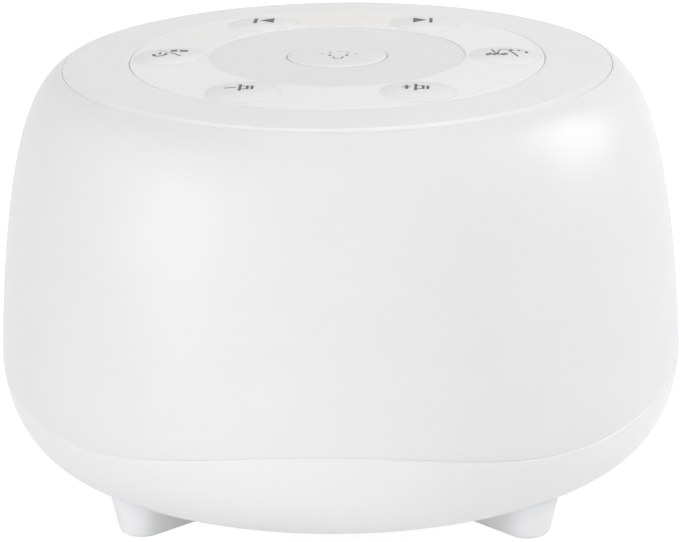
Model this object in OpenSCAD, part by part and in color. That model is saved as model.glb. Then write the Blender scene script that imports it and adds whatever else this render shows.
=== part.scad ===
// White noise sound machine: a round bedside speaker with a ring of keys on top.
// The origin is under the middle of the body, on the surface that the feet stand on.
// +Z is up and the front faces -Y. All sizes are in millimetres.

/* [Body] */
// Largest diameter of the body
body_d = 105; // [100:0.5:118]
// Height of the top of the dome that the ring and the cover follow
body_h = 66.4; // [64:0.2:80]
// Height of the widest part of the body
belly_z = 20.8; // [19.6:0.2:24]
// Gap between the underside and the surface
ground_gap = 4.2; // [3:0.1:5.5]
// How full the shoulder is, higher is squarer
shoulder_power = 13.1; // [10:0.1:18]
// How straight the side rises, higher is straighter
side_power = 1.32; // [1.1:0.02:1.8]
// How full the lower edge of the bowl is, higher is squarer
bilge_power = 10.4; // [8:0.1:16]
// How long the lower edge curves in, higher is shorter
keel_power = 1.75; // [1.4:0.05:2.4]
// Wall thickness of the housing and the bowl
wall = 2.3; // [1.8:0.1:2.8]

/* [Wavy seam] */
// Mean height of the seam between the housing and the base shell
seam_z = 18.6; // [17:0.1:19]
// Height of the seam's wave above and below its mean
seam_wave = 2.1; // [0.5:0.1:2.2]
// Waves around the body
seam_lobes = 4; // [2:1:8]
// Gap along the seam
seam_gap = 0.3; // [0.1:0.05:0.5]
// Height of the base shell's inner tongue
tongue_top = 22; // [21.6:0.1:23]
// Thickness of the tongue
tongue_t = 1.8; // [1.2:0.1:2.2]
// Clearance between the tongue and the housing
tongue_clear = 0.1; // [0.05:0.05:0.2]

/* [Top] */
// Radius of the round seam between the housing and the top cover
deck_r = 41.6; // [40.6:0.1:42.4]
// Rise of the top from that seam to the middle
crown_rise = 1.3; // [0.6:0.1:2]
// Gap of the round seam
deck_gap = 0.3; // [0.1:0.05:0.5]
// Thickness of the top cover at its edge
cover_t = 2.2; // [1.8:0.1:2.6]
// Outer radius of the light ring
ring_r = 31.5; // [31:0.1:32.2]
// Radius of the centre plate
plate_r = 19.5; // [18.5:0.1:20.4]
// Gap around the light ring and the centre plate
trim_gap = 0.2; // [0.1:0.05:0.3]
// Bevel on the edges of the seams
edge_bevel = 0.3; // [0.1:0.05:0.4]

/* [Keys] */
// Number of keys in the light ring
key_count = 6; // [6:1:6]
// Radius of the circle that the keys stand on
key_ring_r = 25.5; // [25.2:0.1:26]
// Radius of a key
key_r = 5.5; // [4.6:0.1:5.7]
// Clearance around a key and the light button
key_clear = 0.15; // [0.1:0.01:0.2]
// Rise of a key's crown above its edge
key_crown = 0.75; // [0.3:0.05:0.9]
// Radius of the light button
button_r = 7.5; // [6:0.05:9]
// How far the edge of the light button stands out of the centre plate
button_proud = 0.3; // [0:0.1:0.8]
// Rise of the light button's crown above its edge
button_crown = 0.1; // [0.05:0.05:0.3]
// How far the flat centre plate lies below the light ring's inner edge
plate_sink = 0.2; // [0.1:0.05:0.4]
// Travel of a key
key_travel = 0.5; // [0.3:0.05:0.55]
// Thickness of the flange that keeps a key in
flange_t = 1; // [0.8:0.1:1.4]
// Width of that flange
flange_w = 0.75; // [0.5:0.05:0.8]
// Radius of a key's stem
stem_r = 2; // [1.7:0.1:2.6]
// Length of a key's stem under its flange
stem_l = 2.6; // [2:0.1:3.6]

/* [Switches] */
// Width of a tact switch
switch_w = 6; // [5:0.1:6.4]
// Height of a tact switch
switch_h = 3.5; // [3.2:0.1:4.5]
// Radius of a switch plunger
plunger_r = 1.6; // [1.2:0.05:1.7]
// Running clearance of a plunger in its switch
plunger_clear = 0.1; // [0.05:0.01:0.1]
// How far a plunger stands out of its switch
plunger_out = 0.6; // [0.6:0.05:0.9]
// How deep a plunger reaches into its switch
plunger_in = 1.6; // [1.2:0.1:1.8]
// Width of a lamp
lamp_w = 3.5; // [2.8:0.1:5]
// Height of a lamp
lamp_h = 1.1; // [0.8:0.1:1.6]

/* [Feet] */
// Number of feet
foot_count = 4; // [4:1:4]
// Distance from the axis to the centre of a foot's round end
foot_end_r = 40.6; // [40:0.1:41.6]
// Distance from the axis to a foot's inner end
foot_in_r = 27; // [24:0.5:30]
// Half the width of a foot where it stands
foot_half_w = 3.3; // [2.8:0.1:3.6]
// How much wider each side of a foot gets per millimetre of height
foot_flare = 0.22; // [0.1:0.01:0.26]
// Distance from the axis to a foot's peg
peg_ring_r = 32.3; // [32:0.1:32.6]
// Radius of a foot's peg
peg_r = 1.2; // [1:0.05:1.3]
// Clearance of a foot against the base shell
foot_clear = 0.05; // [0.02:0.01:0.1]

/* [Base shell] */
// Thickness of the floor
floor_t = 2; // [1.8:0.1:2.4]
// Radius of a grille hole
grille_hole_r = 1.2; // [0.8:0.05:1.4]
// Distance between the rings of grille holes
grille_pitch = 4.4; // [4:0.1:4.8]
// Rings of grille holes
grille_rings = 4; // [2:1:4]
// Distance from the axis to the base screws
post_ring_r = 37; // [36.8:0.1:37.4]
// Radius of the housing's screw posts
post_r = 3.5; // [3:0.1:3.6]
// Height of the top of the base shell's screw bosses
boss_top = 11.5; // [11:0.1:13]
// Thickness of the ribs between the posts and the housing
rib_t = 1.6; // [1.2:0.1:2.4]
// Radius of a base screw's shank
base_screw_r = 0.95; // [0.8:0.05:1.1]
// Radius of a base screw's head
base_head_r = 2.2; // [1.8:0.1:2.3]
// Length of a base screw's shank
base_screw_l = 12; // [9:0.5:14]

/* [Boards] */
// Thickness of the circuit boards
board_t = 1.6; // [1.2:0.1:1.8]
// Radius of the key board
key_board_r = 38; // [37.9:0.1:38.2]
// Radius of the main board
main_board_r = 32.5; // [32:0.1:32.8]
// Height of the underside of the main board
main_board_z = 36.4; // [34:0.2:37.5]
// Distance from the edge of the main board to the middle of its screws
pillar_inset = 3; // [2.7:0.1:3.3]
// Radius of a pillar
pillar_r = 2.4; // [2:0.1:2.6]
// Distance from the edge of the key board to the middle of its screws
lug_inset = 2.1; // [1.9:0.05:2.1]
// Radius of the top cover's screw lugs
lug_r = 2.2; // [1.8:0.1:2.3]
// Radius of a small screw's shank
small_screw_r = 0.75; // [0.6:0.05:0.9]
// Radius of a small screw's head
small_head_r = 1.7; // [1.4:0.1:1.8]
// Height of a small screw's head
small_head_h = 1.2; // [0.8:0.1:1.4]

/* [Speaker] */
// Clearance between the speaker's flange and the pillars of the main board
speaker_gap = 1.1; // [0.9:0.1:1.6]
// Width of the speaker's flange around its opening
speaker_flange_w = 4; // [3.9:0.1:4.4]
// Thickness of the gasket under the speaker
gasket_t = 2; // [1.5:0.1:2.5]
// Thickness of the speaker's flange and plates of sheet metal
frame_t = 1.2; // [1:0.1:1.4]
// How far the middle of the speaker's screws stands outside its flange
ear_reach = 2; // [1.8:0.1:2.4]
// Movement of the cone each way
cone_travel = 0.8; // [0.4:0.1:1]
// Inner radius of the voice coil
coil_r = 7.6; // [7.5:0.05:8]
// Thickness of the voice coil
coil_t = 0.5; // [0.4:0.05:0.6]
// Clearance on both sides of the voice coil
coil_clear = 0.4; // [0.3:0.05:0.5]
// Radius of the magnet
magnet_r = 16; // [15:0.1:16.4]
// Thickness of the magnet
magnet_t = 5.5; // [5:0.1:6]
// Radius of the speaker's steel plates
steel_r = 14; // [12.5:0.1:14.8]
// Thickness of a steel plate
steel_t = 2; // [1.6:0.1:2.2]

/* [Power socket] */
// Width of the socket's shell
socket_w = 8.94; // [8.9:0.01:9]
// Height of the socket's shell
socket_h = 3.26; // [3.2:0.01:3.3]
// Depth of the socket's shell
socket_l = 7.35; // [6.8:0.05:7.6]
// Clearance around the socket in the housing
socket_clear = 0.22; // [0.15:0.01:0.3]
// Width of the recess around the socket
recess_w = 13.4; // [12:0.1:15]
// Height of the recess around the socket
recess_h = 7.4; // [6.4:0.1:8]
// Depth of the recess around the socket
recess_depth = 0.8; // [0.5:0.1:1]
// Thickness of the shelf under the socket
shelf_t = 1.6; // [1.4:0.1:2]
// Half the width of that shelf
shelf_half_w = 9; // [8.6:0.1:10]

/* [Quality] */
// Segments of a full turn
turn_steps = 96; // [48:8:128]
// Segments of the wavy seam
wave_steps = 72; // [48:8:96]

/* [Hidden] */
$fn = turn_steps;
eps = 0.01;

// Shared angles: the screws, posts and feet stand on the diagonals
diagonals = [45, 135, 225, 315];
squares = [0, 90, 180, 270];
key_step = 360 / key_count;
key_angles = [for (i = [0:key_count - 1]) 180 + i * key_step];

// Outline of the body
body_r = body_d / 2;
deck_edge_z = body_h - crown_rise;
rim_r = deck_r + deck_gap / 2;
cover_r = deck_r - deck_gap / 2;
apex_z = belly_z
  + (deck_edge_z - belly_z) / pow(1 - pow(deck_r / body_r, shoulder_power), 1 / side_power);

// Radius of the outside (inset 0) or of a wall inset from it, above the belly
function upper_r(z, inset = 0) = (body_r - inset)
  * pow(1 - pow((z - belly_z) / (apex_z - inset - belly_z), side_power), 1 / shoulder_power);
function upper_z(r) = belly_z
  + (apex_z - belly_z) * pow(1 - pow(r / body_r, shoulder_power), 1 / side_power);
// The same below the belly, with the depth of the floor as the inset in height
function lower_r(z, inset = 0, rise = 0) = (body_r - inset)
  * pow(1 - pow((belly_z - z) / (belly_z - ground_gap - rise), keel_power), 1 / bilge_power);
function lower_z(r, inset = 0, rise = 0) = belly_z
  - (belly_z - ground_gap - rise)
  * pow(1 - pow(r / (body_r - inset), bilge_power), 1 / keel_power);
function wall_r(z, inset = 0, rise = 0) =
  z < belly_z ? lower_r(z, inset, rise) : upper_r(z, inset);
function side_r(z) = wall_r(z);
// Height of the domed top at a distance from the axis
function deck_z(r) = body_h - crown_rise * pow(r / deck_r, 2);
// Height of the wavy seam at an angle
function wave_at(angle) = seam_z + seam_wave * cos(seam_lobes * (angle + 90));
function steps(from, to, count) = [for (i = [0:count]) from + (to - from) * i / count];

// Points of the bowl's curve from its flat bottom up to a height
bowl_flat_r = 30;
bowl_turn_r = body_r - 6;
function bowl_curve(top, inset = 0, rise = 0) = concat(
  [[bowl_flat_r, ground_gap + rise]],
  [for (r = steps(bowl_flat_r + 4, bowl_turn_r - inset, 6)) [r, lower_z(r, inset, rise)]],
  [for (z = steps(lower_z(bowl_turn_r - inset, inset, rise) + 0.8, top, 8))
    [wall_r(z, inset, rise), z]]);

// Seam and tongue
tongue_r = upper_r(tongue_top, wall) - 0.25;
housing_bore_r = tongue_r + tongue_clear;
seam_low_z = seam_z - seam_wave - 1;
seam_high_z = seam_z + seam_wave + 0.4;
tongue_low_z = seam_z - seam_wave - 2.6;

// Top cover, its ledge and its skirt
cover_bottom = deck_edge_z - cover_t;
ledge_gap = 0.1;
ledge_top = cover_bottom - ledge_gap;
ledge_t = 2;
ledge_bottom = ledge_top - ledge_t;
ledge_r = cover_r - 1.3;
skirt_r = ledge_r - 0.2;
skirt_t = 1.4;
skirt_bottom = ledge_bottom - 3.8;
latch_reach = 0.8;
latch_h = 1.8;
latch_gap = 0.15;
latch_w = 8;
latch_count = 6;

// Light ring and centre plate
ring_bottom = cover_bottom - 0.5;
ring_flange_w = 2;
ring_flange_t = 1.3;
rebate_clear = 0.1;
ring_out_r = ring_r - trim_gap / 2;
cover_in_r = ring_r + trim_gap / 2;
ring_in_r = plate_r + trim_gap / 2;
plate_out_r = plate_r - trim_gap / 2;
ring_lip_w = 1.6;
ring_lip_t = 1.6;
plate_bottom = ring_bottom + ring_lip_t + rebate_clear;
plate_skirt_t = 1;
plate_skirt_r = ring_in_r - ring_lip_w - 0.3;
plate_skirt_bottom = ring_bottom + 0.2;
plate_top = deck_z(ring_in_r) - plate_sink;

// Keys: heights down from the light ring and the centre plate
rest_gap = 0.2;
key_edge_z = deck_z(key_ring_r) - 0.1;
key_flange_top = ring_bottom - rest_gap;
key_flange_bottom = key_flange_top - flange_t;
plunger_top = key_flange_bottom - stem_l;
switch_top = plunger_top - plunger_out;
plunger_bottom = switch_top - plunger_in;
switch_bore_bottom = plunger_bottom - key_travel - 0.3;
key_board_top = switch_top - switch_h;
key_board_bottom = key_board_top - board_t;
button_edge_z = plate_top + button_proud;
button_flange_top = plate_bottom - rest_gap;
button_flange_bottom = button_flange_top - flange_t;
// Radius of the ball whose cap has the given radius and rise
function crown_ball(r, rise) = (r * r + rise * rise) / (2 * rise);

// Light baffle
lug_ring_r = key_board_r - lug_inset;
baffle_out_r = lug_ring_r - lug_r - 0.3;
baffle_in_r = ring_in_r - ring_lip_w + 0.2;
key_well_r = key_r + flange_w + 0.3;
lamp_well_r = 4.6;

// Base shell, its bosses and its screws
floor_top = ground_gap + floor_t;
post_gap = 0.2;
post_bottom = boss_top + post_gap;
post_drop = 5;
post_top = key_board_bottom - post_drop;
rib_drop = 8;
rib_bottom = tongue_top + 1;
rib_top = post_top - rib_drop;
rib_end_r = body_r - wall + 0.4;
boss_r = post_r + 0.5;
head_gap = 0.3;
base_head_h = 1.6;
head_seat = floor_top + 1.8;
base_hole_r = base_screw_r + 0.45;
base_pilot_r = base_screw_r + 0.05;
foot_h = ground_gap + 3.6;
peg_top = floor_top - 0.2;
peg_hole_clear = 0.1;
small_pilot_r = small_screw_r + 0.05;
small_hole_r = small_screw_r + 0.35;
small_screw_l = 6;

// Speaker: it stands inside the pillars of the main board, heights up from the floor
pillar_ring_r = main_board_r - pillar_inset;
speaker_r = pillar_ring_r - pillar_r - speaker_gap;
speaker_open_r = speaker_r - speaker_flange_w;
speaker_screw_ring = speaker_r + ear_reach;
ear_r = 3;
ear_w = 5.2;
speaker_boss_r = ear_r - 0.4;
cloth_t = 0.3;
gasket_in_r = speaker_open_r + 0.6;
gasket_out_r = speaker_screw_ring - speaker_boss_r - 0.2;
cloth_r = gasket_in_r - 0.2;
flange_z = floor_top + gasket_t;
flange_top = flange_z + frame_t;
basket_h = 11.1;
basket_out_r = speaker_r - 1.4;
ear_root_r = basket_out_r + 0.4;
basket_wall = 1.1;
basket_top = flange_top + basket_h;
basket_neck_r = steel_r + 3.4;
basket_slope = (basket_out_r - basket_neck_r) / basket_h;
spider_ledge_rise = 8;
spider_ledge_w = 1.2;
spider_ledge_z = flange_top + spider_ledge_rise;
spider_ledge_r = basket_neck_r - spider_ledge_w;
spider_wall_r = basket_out_r - basket_wall - spider_ledge_rise * basket_slope;
neck_plate_t = 1;
steel_z = basket_top + neck_plate_t;
coil_out_r = coil_r + coil_t;
gap_out_r = coil_out_r + coil_clear;
pole_r = coil_r - coil_clear;
magnet_z = steel_z + steel_t;
back_z = magnet_z + magnet_t;
sheet_t = 0.4;
roll_h = 1.6;
roll_w = 3.4;
surround_out_r = basket_out_r - basket_wall - 0.1 - sheet_t * basket_slope;
cone_lip_rise = 1.6;
cone_lip_w = 1.2;
cone_lip_z = flange_top + cone_lip_rise;
cone_lip_out = speaker_open_r - roll_w;
cone_lip_in = cone_lip_out - cone_lip_w;
cone_rim_r = cone_lip_in - 0.4;
cone_depth = 6.6;
neck_r = coil_out_r + 0.05;
neck_z = cone_lip_z + cone_depth;
cone_t = 0.6;
cap_w = 1.8;
cap_r = neck_r + cap_w;
cap_rise = 2.2;
coil_over = 1.5;
coil_bottom = neck_z - 0.2;
coil_top = magnet_z + coil_over;
terminal_w = 6;
terminal_d = 4;
terminal_y = magnet_r + 2.6;
window_w = 18;
window_h = 5;
window_rise = 1.4;
lead_r = 0.5;
lead_x = 1.5;

// Boards
main_board_top = main_board_z + board_t;
processor_w = 9;
driver_w = 6;
driver_d = 5;
memory_w = 7;
memory_d = 4;
chip_h = 1.4;
capacitor_r = 2.5;
capacitor_h = 5.5;
wire_plug_w = 7;
wire_plug_d = 5;
wire_plug_h = 5;
flat_cable_y = 0.74 * main_board_r;
flat_cable_w = 9;
flat_cable_t = 0.3;
flat_plug_h = 2.2;
flat_plug_w = 12;
flat_plug_d = 3.6;

// Power socket: heights up from the tongue
socket_board_t = 1.2;
shelf_bottom = tongue_top + 0.5;
shelf_top = shelf_bottom + shelf_t;
socket_board_top = shelf_top + socket_board_t;
socket_z = socket_board_top + socket_h / 2;
socket_face_y = side_r(socket_z) - recess_depth - 0.3;
shelf_gap = 3;
shelf_front_y = main_board_r + shelf_gap;
shelf_end_y = body_r - wall + 0.4;
socket_board_end_y = upper_r(socket_z, wall) - 1.2;
socket_screw_x = 6;
socket_screw_y = shelf_front_y + 3.1;
socket_boss_r = 2.2;
socket_boss_drop = 3.4;
socket_shell_t = 0.3;
tongue_w = 6.7;
tongue_h = 0.7;

// Power leads: half their spacing along the way, and how far inside the board's edge they run
lead_start_x = 2.4;
lead_bend_x = 3.6;
lead_end_x = 5;
lead_solder_gap = 1.4;
lead_bend_inset = 0.5;
lead_bend_drop = 5;
lead_end_inset = 4;

// Turns its children to each angle of a list, at a distance from the axis
module around(angles, distance) {
  for (a = angles) rotate([0, 0, a]) translate([distance, 0, 0]) children();
}

// A ring between two radii and two heights
module ring(outer, inner, bottom, top) {
  rotate_extrude() translate([inner, bottom]) square([outer - inner, top - bottom]);
}

module disc(r, bottom, top) {
  translate([0, 0, bottom]) cylinder(r = r, h = top - bottom);
}

// An upright outline with round ends, pushed along +Y
module round_slot(w, h, y0, y1) {
  end_r = h / 2;
  arc = [for (a = steps(-90, 90, 12)) [w / 2 - end_r + end_r * cos(a), end_r * sin(a)]];
  outline = concat(arc, [for (p = arc) -p]);
  translate([0, y1, 0]) rotate([90, 0, 0]) linear_extrude(y1 - y0) polygon(outline);
}

// A screw with its head up, its seat at the given height
module small_screw(seat) {
  disc(small_head_r, seat, seat + small_head_h);
  disc(small_screw_r, seat - small_screw_l, seat + eps);
}

// A ring from just under or over the wavy seam to a flat end
module wave_block(flat_z, shift) {
  inner = body_r - wall - 3;
  outer = body_r + 2;
  count = wave_steps;
  points = [for (i = [0:count - 1])
    let (a = i * 360 / count, z = wave_at(a) + shift)
    for (p = [[inner, flat_z], [outer, flat_z], [outer, z], [inner, z]])
      [p[0] * cos(a), p[0] * sin(a), p[1]]];
  rising = flat_z < seam_z;
  quads = [for (i = [0:count - 1])
    let (a = 4 * i, b = 4 * ((i + 1) % count))
    for (k = [0:3]) [a + k, a + (k + 1) % 4, b + (k + 1) % 4, b + k]];
  halves = [for (q = quads) for (t = [[q[0], q[1], q[2]], [q[0], q[2], q[3]]])
    rising ? t : [t[2], t[1], t[0]]];
  polyhedron(points = points, faces = halves, convexity = 6);
}

// Solid bowl inside the outer curve of the base
module bowl_solid(drop = 0) {
  curve = bowl_curve(seam_high_z);
  translate([0, 0, -drop]) rotate_extrude()
    polygon(concat([[0, ground_gap]], curve, [[0, seam_high_z]]));
}

module housing_shell() {
  turn_r = body_r - 7;
  outside = concat(
    [for (z = steps(seam_low_z, upper_z(turn_r), 24)) [side_r(z), z]],
    [for (r = steps(turn_r - 0.6, rim_r + edge_bevel, 6)) [r, upper_z(r)]],
    [[rim_r, upper_z(rim_r) - edge_bevel]]);
  inside_low = tongue_top + 0.4;
  inside = concat(
    [[rim_r, ledge_top], [ledge_r, ledge_top], [ledge_r, ledge_bottom]],
    [for (z = steps(ledge_bottom, inside_low, 16)) [upper_r(z, wall), z]],
    [[housing_bore_r, inside_low], [housing_bore_r, seam_low_z]]);
  rotate_extrude() polygon(concat(outside, inside));
}

module socket_opening() {
  translate([0, 0, socket_z]) {
    round_slot(socket_w + 2 * socket_clear, socket_h + 2 * socket_clear,
      socket_face_y - 4, body_r + 1);
    round_slot(recess_w, recess_h, side_r(socket_z) - recess_depth, body_r + 1);
  }
}

module socket_shelf() {
  translate([-shelf_half_w, shelf_front_y, shelf_bottom])
    cube([2 * shelf_half_w, shelf_end_y - shelf_front_y, shelf_t]);
  for (x = [-socket_screw_x, socket_screw_x])
    translate([x, socket_screw_y, 0])
      disc(socket_boss_r, shelf_bottom - socket_boss_drop, shelf_top);
}

// One sub-part per module
module housing() {
  color([0.90, 0.90, 0.91]) difference() {
    union() {
      difference() {
        housing_shell();
        wave_block(seam_low_z - 2, seam_gap / 2);
      }
      around(diagonals, post_ring_r) disc(post_r, post_bottom, post_top);
      for (a = diagonals) rotate([0, 0, a])
        translate([post_ring_r, -rib_t / 2, rib_bottom])
          cube([rib_end_r - post_ring_r, rib_t, rib_top - rib_bottom]);
      socket_shelf();
    }
    around(diagonals, post_ring_r)
      disc(base_pilot_r, post_bottom - 1, head_seat + base_screw_l + 1);
    socket_opening();
    for (x = [-socket_screw_x, socket_screw_x])
      translate([x, socket_screw_y, 0])
        disc(small_pilot_r, socket_board_top - small_screw_l - 0.3, shelf_top + 1);
  }
}

module grille_holes() {
  disc(grille_hole_r, ground_gap - 1, floor_top + 1);
  for (ring_no = [1:grille_rings])
    for (i = [0:6 * ring_no - 1])
      rotate([0, 0, i * 60 / ring_no]) translate([ring_no * grille_pitch, 0, 0])
        disc(grille_hole_r, ground_gap - 1, floor_top + 1);
}

module base_shell() {
  inner_curve = bowl_curve(seam_high_z, wall, floor_t);
  inner_low = floor_top - 0.2;
  color([0.88, 0.88, 0.89]) difference() {
    union() {
      difference() {
        rotate_extrude() polygon(concat([[0, ground_gap]], bowl_curve(seam_high_z),
          [for (i = [len(inner_curve) - 1:-1:0]) inner_curve[i]], [[0, floor_top]]));
        wave_block(seam_high_z + 2, -seam_gap / 2);
      }
      ring(tongue_r, tongue_r - tongue_t, tongue_low_z, tongue_top);
      around(diagonals, post_ring_r) disc(boss_r, inner_low, boss_top);
      around(diagonals, speaker_screw_ring) disc(speaker_boss_r, inner_low, flange_z);
      around(squares, pillar_ring_r) disc(pillar_r, inner_low, main_board_z);
    }
    around(diagonals, post_ring_r) {
      disc(base_hole_r, ground_gap - 1, boss_top + 1);
      disc(base_head_r + head_gap, ground_gap - 1, head_seat);
    }
    around(diagonals, speaker_screw_ring) disc(small_pilot_r, floor_top - 1, flange_z + 1);
    around(squares, pillar_ring_r)
      disc(small_pilot_r, main_board_top - small_screw_l - 0.4, main_board_z + 1);
    around(diagonals, peg_ring_r) disc(peg_r + peg_hole_clear, ground_gap - 1, floor_top + 1);
    grille_holes();
  }
}

// A fin that runs in towards the axis and widens upwards, with a round outer end, cut to the
// bowl above it
module foot(angle) {
  top_half_w = foot_half_w + foot_flare * foot_h;
  section = [[-foot_half_w, 0], [foot_half_w, 0], [top_half_w, foot_h], [-top_half_w, foot_h]];
  color([0.86, 0.88, 0.91]) rotate([0, 0, angle]) {
    difference() {
      union() {
        translate([foot_end_r, 0, 0]) cylinder(r1 = foot_half_w, r2 = top_half_w, h = foot_h);
        translate([foot_in_r, 0, 0]) rotate([90, 0, 90])
          linear_extrude(foot_end_r - foot_in_r) polygon(section);
      }
      bowl_solid(foot_clear);
    }
    translate([peg_ring_r, 0, 0]) disc(peg_r, ground_gap / 2, peg_top);
  }
}

module foot_front_right() { foot(diagonals[3]); }
module foot_back_right() { foot(diagonals[0]); }
module foot_back_left() { foot(diagonals[1]); }
module foot_front_left() { foot(diagonals[2]); }

module base_screws() {
  color([0.70, 0.71, 0.73]) around(diagonals, post_ring_r) {
    disc(base_head_r, head_seat - base_head_h, head_seat);
    disc(base_screw_r, head_seat - eps, head_seat + base_screw_l);
  }
}

module top_cover() {
  rebate_r = ring_out_r + ring_flange_w + 0.2;
  rebate_z = ring_bottom + ring_flange_t + rebate_clear;
  deck = concat(
    [for (r = steps(cover_in_r, cover_r - edge_bevel, 6)) [r, deck_z(r)]],
    [[cover_r, deck_z(cover_r) - edge_bevel], [cover_r, cover_bottom],
     [rebate_r, cover_bottom], [rebate_r, rebate_z], [cover_in_r, rebate_z]]);
  latch_top = ledge_bottom - latch_gap;
  latch = [[skirt_r - 0.4, latch_top - latch_h], [skirt_r + latch_reach, latch_top - 0.5],
    [skirt_r + latch_reach, latch_top], [skirt_r - 0.4, latch_top]];
  color([0.84, 0.84, 0.85]) difference() {
    union() {
      rotate_extrude() polygon(deck);
      ring(skirt_r, skirt_r - skirt_t, skirt_bottom, cover_bottom + 0.4);
      intersection() {
        rotate_extrude() polygon(latch);
        for (i = [0:latch_count - 1]) rotate([0, 0, i * 360 / latch_count])
          translate([skirt_r - skirt_t, -latch_w / 2, skirt_bottom])
            cube([skirt_t + 2, latch_w, ledge_bottom - skirt_bottom]);
      }
      around(diagonals, lug_ring_r) disc(lug_r, key_board_top, cover_bottom + 0.4);
    }
    around(diagonals, lug_ring_r)
      disc(small_pilot_r, key_board_top - 1, key_board_bottom + small_screw_l + 0.4);
  }
}

module light_ring() {
  flange_r = ring_out_r + ring_flange_w;
  lip_r = ring_in_r - ring_lip_w;
  outline = concat(
    [[lip_r, ring_bottom], [flange_r, ring_bottom], [flange_r, ring_bottom + ring_flange_t],
     [ring_out_r, ring_bottom + ring_flange_t]],
    [for (r = steps(ring_out_r, ring_in_r, 8)) [r, deck_z(r)]],
    [[ring_in_r, ring_bottom + ring_lip_t], [lip_r, ring_bottom + ring_lip_t]]);
  color([0.92, 0.92, 0.92]) difference() {
    rotate_extrude() polygon(outline);
    around(key_angles, key_ring_r) disc(key_r + key_clear, ring_bottom - 1, body_h + 1);
  }
}

module centre_plate() {
  bore_r = button_r + key_clear;
  outline = [
    [bore_r, plate_bottom], [plate_skirt_r - plate_skirt_t, plate_bottom],
    [plate_skirt_r - plate_skirt_t, plate_skirt_bottom], [plate_skirt_r, plate_skirt_bottom],
    [plate_skirt_r, plate_bottom], [plate_out_r, plate_bottom],
    [plate_out_r, plate_top], [bore_r, plate_top]];
  color([0.80, 0.80, 0.81]) rotate_extrude() polygon(outline);
}

module light_baffle() {
  color([0.93, 0.93, 0.92]) difference() {
    ring(baffle_out_r, baffle_in_r, key_board_top, ring_bottom);
    around(key_angles, key_ring_r) disc(key_well_r, key_board_top - 1, ring_bottom + 1);
    around([for (a = key_angles) a + key_step / 2], key_ring_r)
      disc(lamp_well_r, key_board_top - 1, ring_bottom + 1);
  }
}

// A round key or button: crowned top, flange that keeps it in, stem to its switch
module push_key(r, edge_z, rise, flange_bottom) {
  ball = crown_ball(r, rise);
  intersection() {
    disc(r, flange_bottom, edge_z + rise + 1);
    translate([0, 0, edge_z + rise - ball]) sphere(r = ball);
  }
  disc(r + flange_w, flange_bottom, flange_bottom + flange_t);
  disc(stem_r, plunger_top, flange_bottom + eps);
}

module ring_key(index) {
  color([0.87, 0.87, 0.87]) rotate([0, 0, key_angles[index]]) translate([key_ring_r, 0, 0])
    push_key(key_r, key_edge_z, key_crown, key_flange_bottom);
}

module key_timer() { ring_key(0); }
module key_volume_down() { ring_key(1); }
module key_volume_up() { ring_key(2); }
module key_sound() { ring_key(3); }
module key_next() { ring_key(4); }
module key_previous() { ring_key(5); }

module light_button() {
  color([0.80, 0.80, 0.81])
    push_key(button_r, button_edge_z, button_crown, button_flange_bottom);
}

module plunger() {
  color([0.2, 0.2, 0.2]) disc(plunger_r, plunger_bottom, plunger_top);
}

module ring_plunger(index) {
  rotate([0, 0, key_angles[index]]) translate([key_ring_r, 0, 0]) plunger();
}

module plunger_light() { plunger(); }
module plunger_timer() { ring_plunger(0); }
module plunger_volume_down() { ring_plunger(1); }
module plunger_volume_up() { ring_plunger(2); }
module plunger_sound() { ring_plunger(3); }
module plunger_next() { ring_plunger(4); }
module plunger_previous() { ring_plunger(5); }

module tact_switch() {
  difference() {
    translate([-switch_w / 2, -switch_w / 2, key_board_top]) cube([switch_w, switch_w, switch_h]);
    disc(plunger_r + plunger_clear, switch_bore_bottom, switch_top + 1);
  }
}

module key_switches() {
  color([0.15, 0.15, 0.16]) {
    tact_switch();
    around(key_angles, key_ring_r) tact_switch();
  }
}

module key_board() {
  color([0.10, 0.36, 0.22]) difference() {
    disc(key_board_r, key_board_bottom, key_board_top);
    around(diagonals, lug_ring_r)
      disc(small_hole_r, key_board_bottom - 1, key_board_top + 1);
  }
}

module light_leds() {
  color([0.95, 0.93, 0.70]) around([for (a = key_angles) a + key_step / 2], key_ring_r)
    translate([-lamp_w / 2, -lamp_w / 2, key_board_top]) cube([lamp_w, lamp_w, lamp_h]);
}

module key_board_screws() {
  color([0.70, 0.71, 0.73]) around(diagonals, lug_ring_r)
    translate([0, 0, key_board_bottom]) mirror([0, 0, 1]) small_screw(0);
}

module grille_cloth() {
  color([0.12, 0.12, 0.13]) disc(cloth_r, floor_top, floor_top + cloth_t);
}

module speaker_gasket() {
  color([0.10, 0.10, 0.10]) ring(gasket_out_r, gasket_in_r, floor_top, flange_z);
}

module speaker_frame() {
  basket = [[speaker_open_r, flange_z], [speaker_r, flange_z], [speaker_r, flange_top],
    [basket_out_r, flange_top], [basket_neck_r, basket_top], [basket_neck_r, steel_z],
    [gap_out_r + 0.2, steel_z], [gap_out_r + 0.2, basket_top], [spider_ledge_r, basket_top],
    [spider_ledge_r, spider_ledge_z], [spider_wall_r, spider_ledge_z],
    [basket_out_r - basket_wall, flange_top], [speaker_open_r, flange_top]];
  color([0.16, 0.16, 0.17]) difference() {
    union() {
      rotate_extrude() polygon(basket);
      around(diagonals, speaker_screw_ring) disc(ear_r, flange_z, flange_top);
      around(diagonals, ear_root_r)
        translate([0, -ear_w / 2, flange_z]) cube([speaker_screw_ring - ear_root_r, ear_w, frame_t]);
      translate([-terminal_w / 2, -terminal_y - 1.4, basket_top])
        cube([terminal_w, terminal_d, neck_plate_t]);
    }
    around(diagonals, speaker_screw_ring) disc(small_hole_r, flange_z - 1, flange_top + 1);
    around(squares, basket_neck_r - 1)
      translate([0, -window_w / 2, flange_top + window_rise])
        cube([speaker_r, window_w, window_h]);
  }
}

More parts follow.
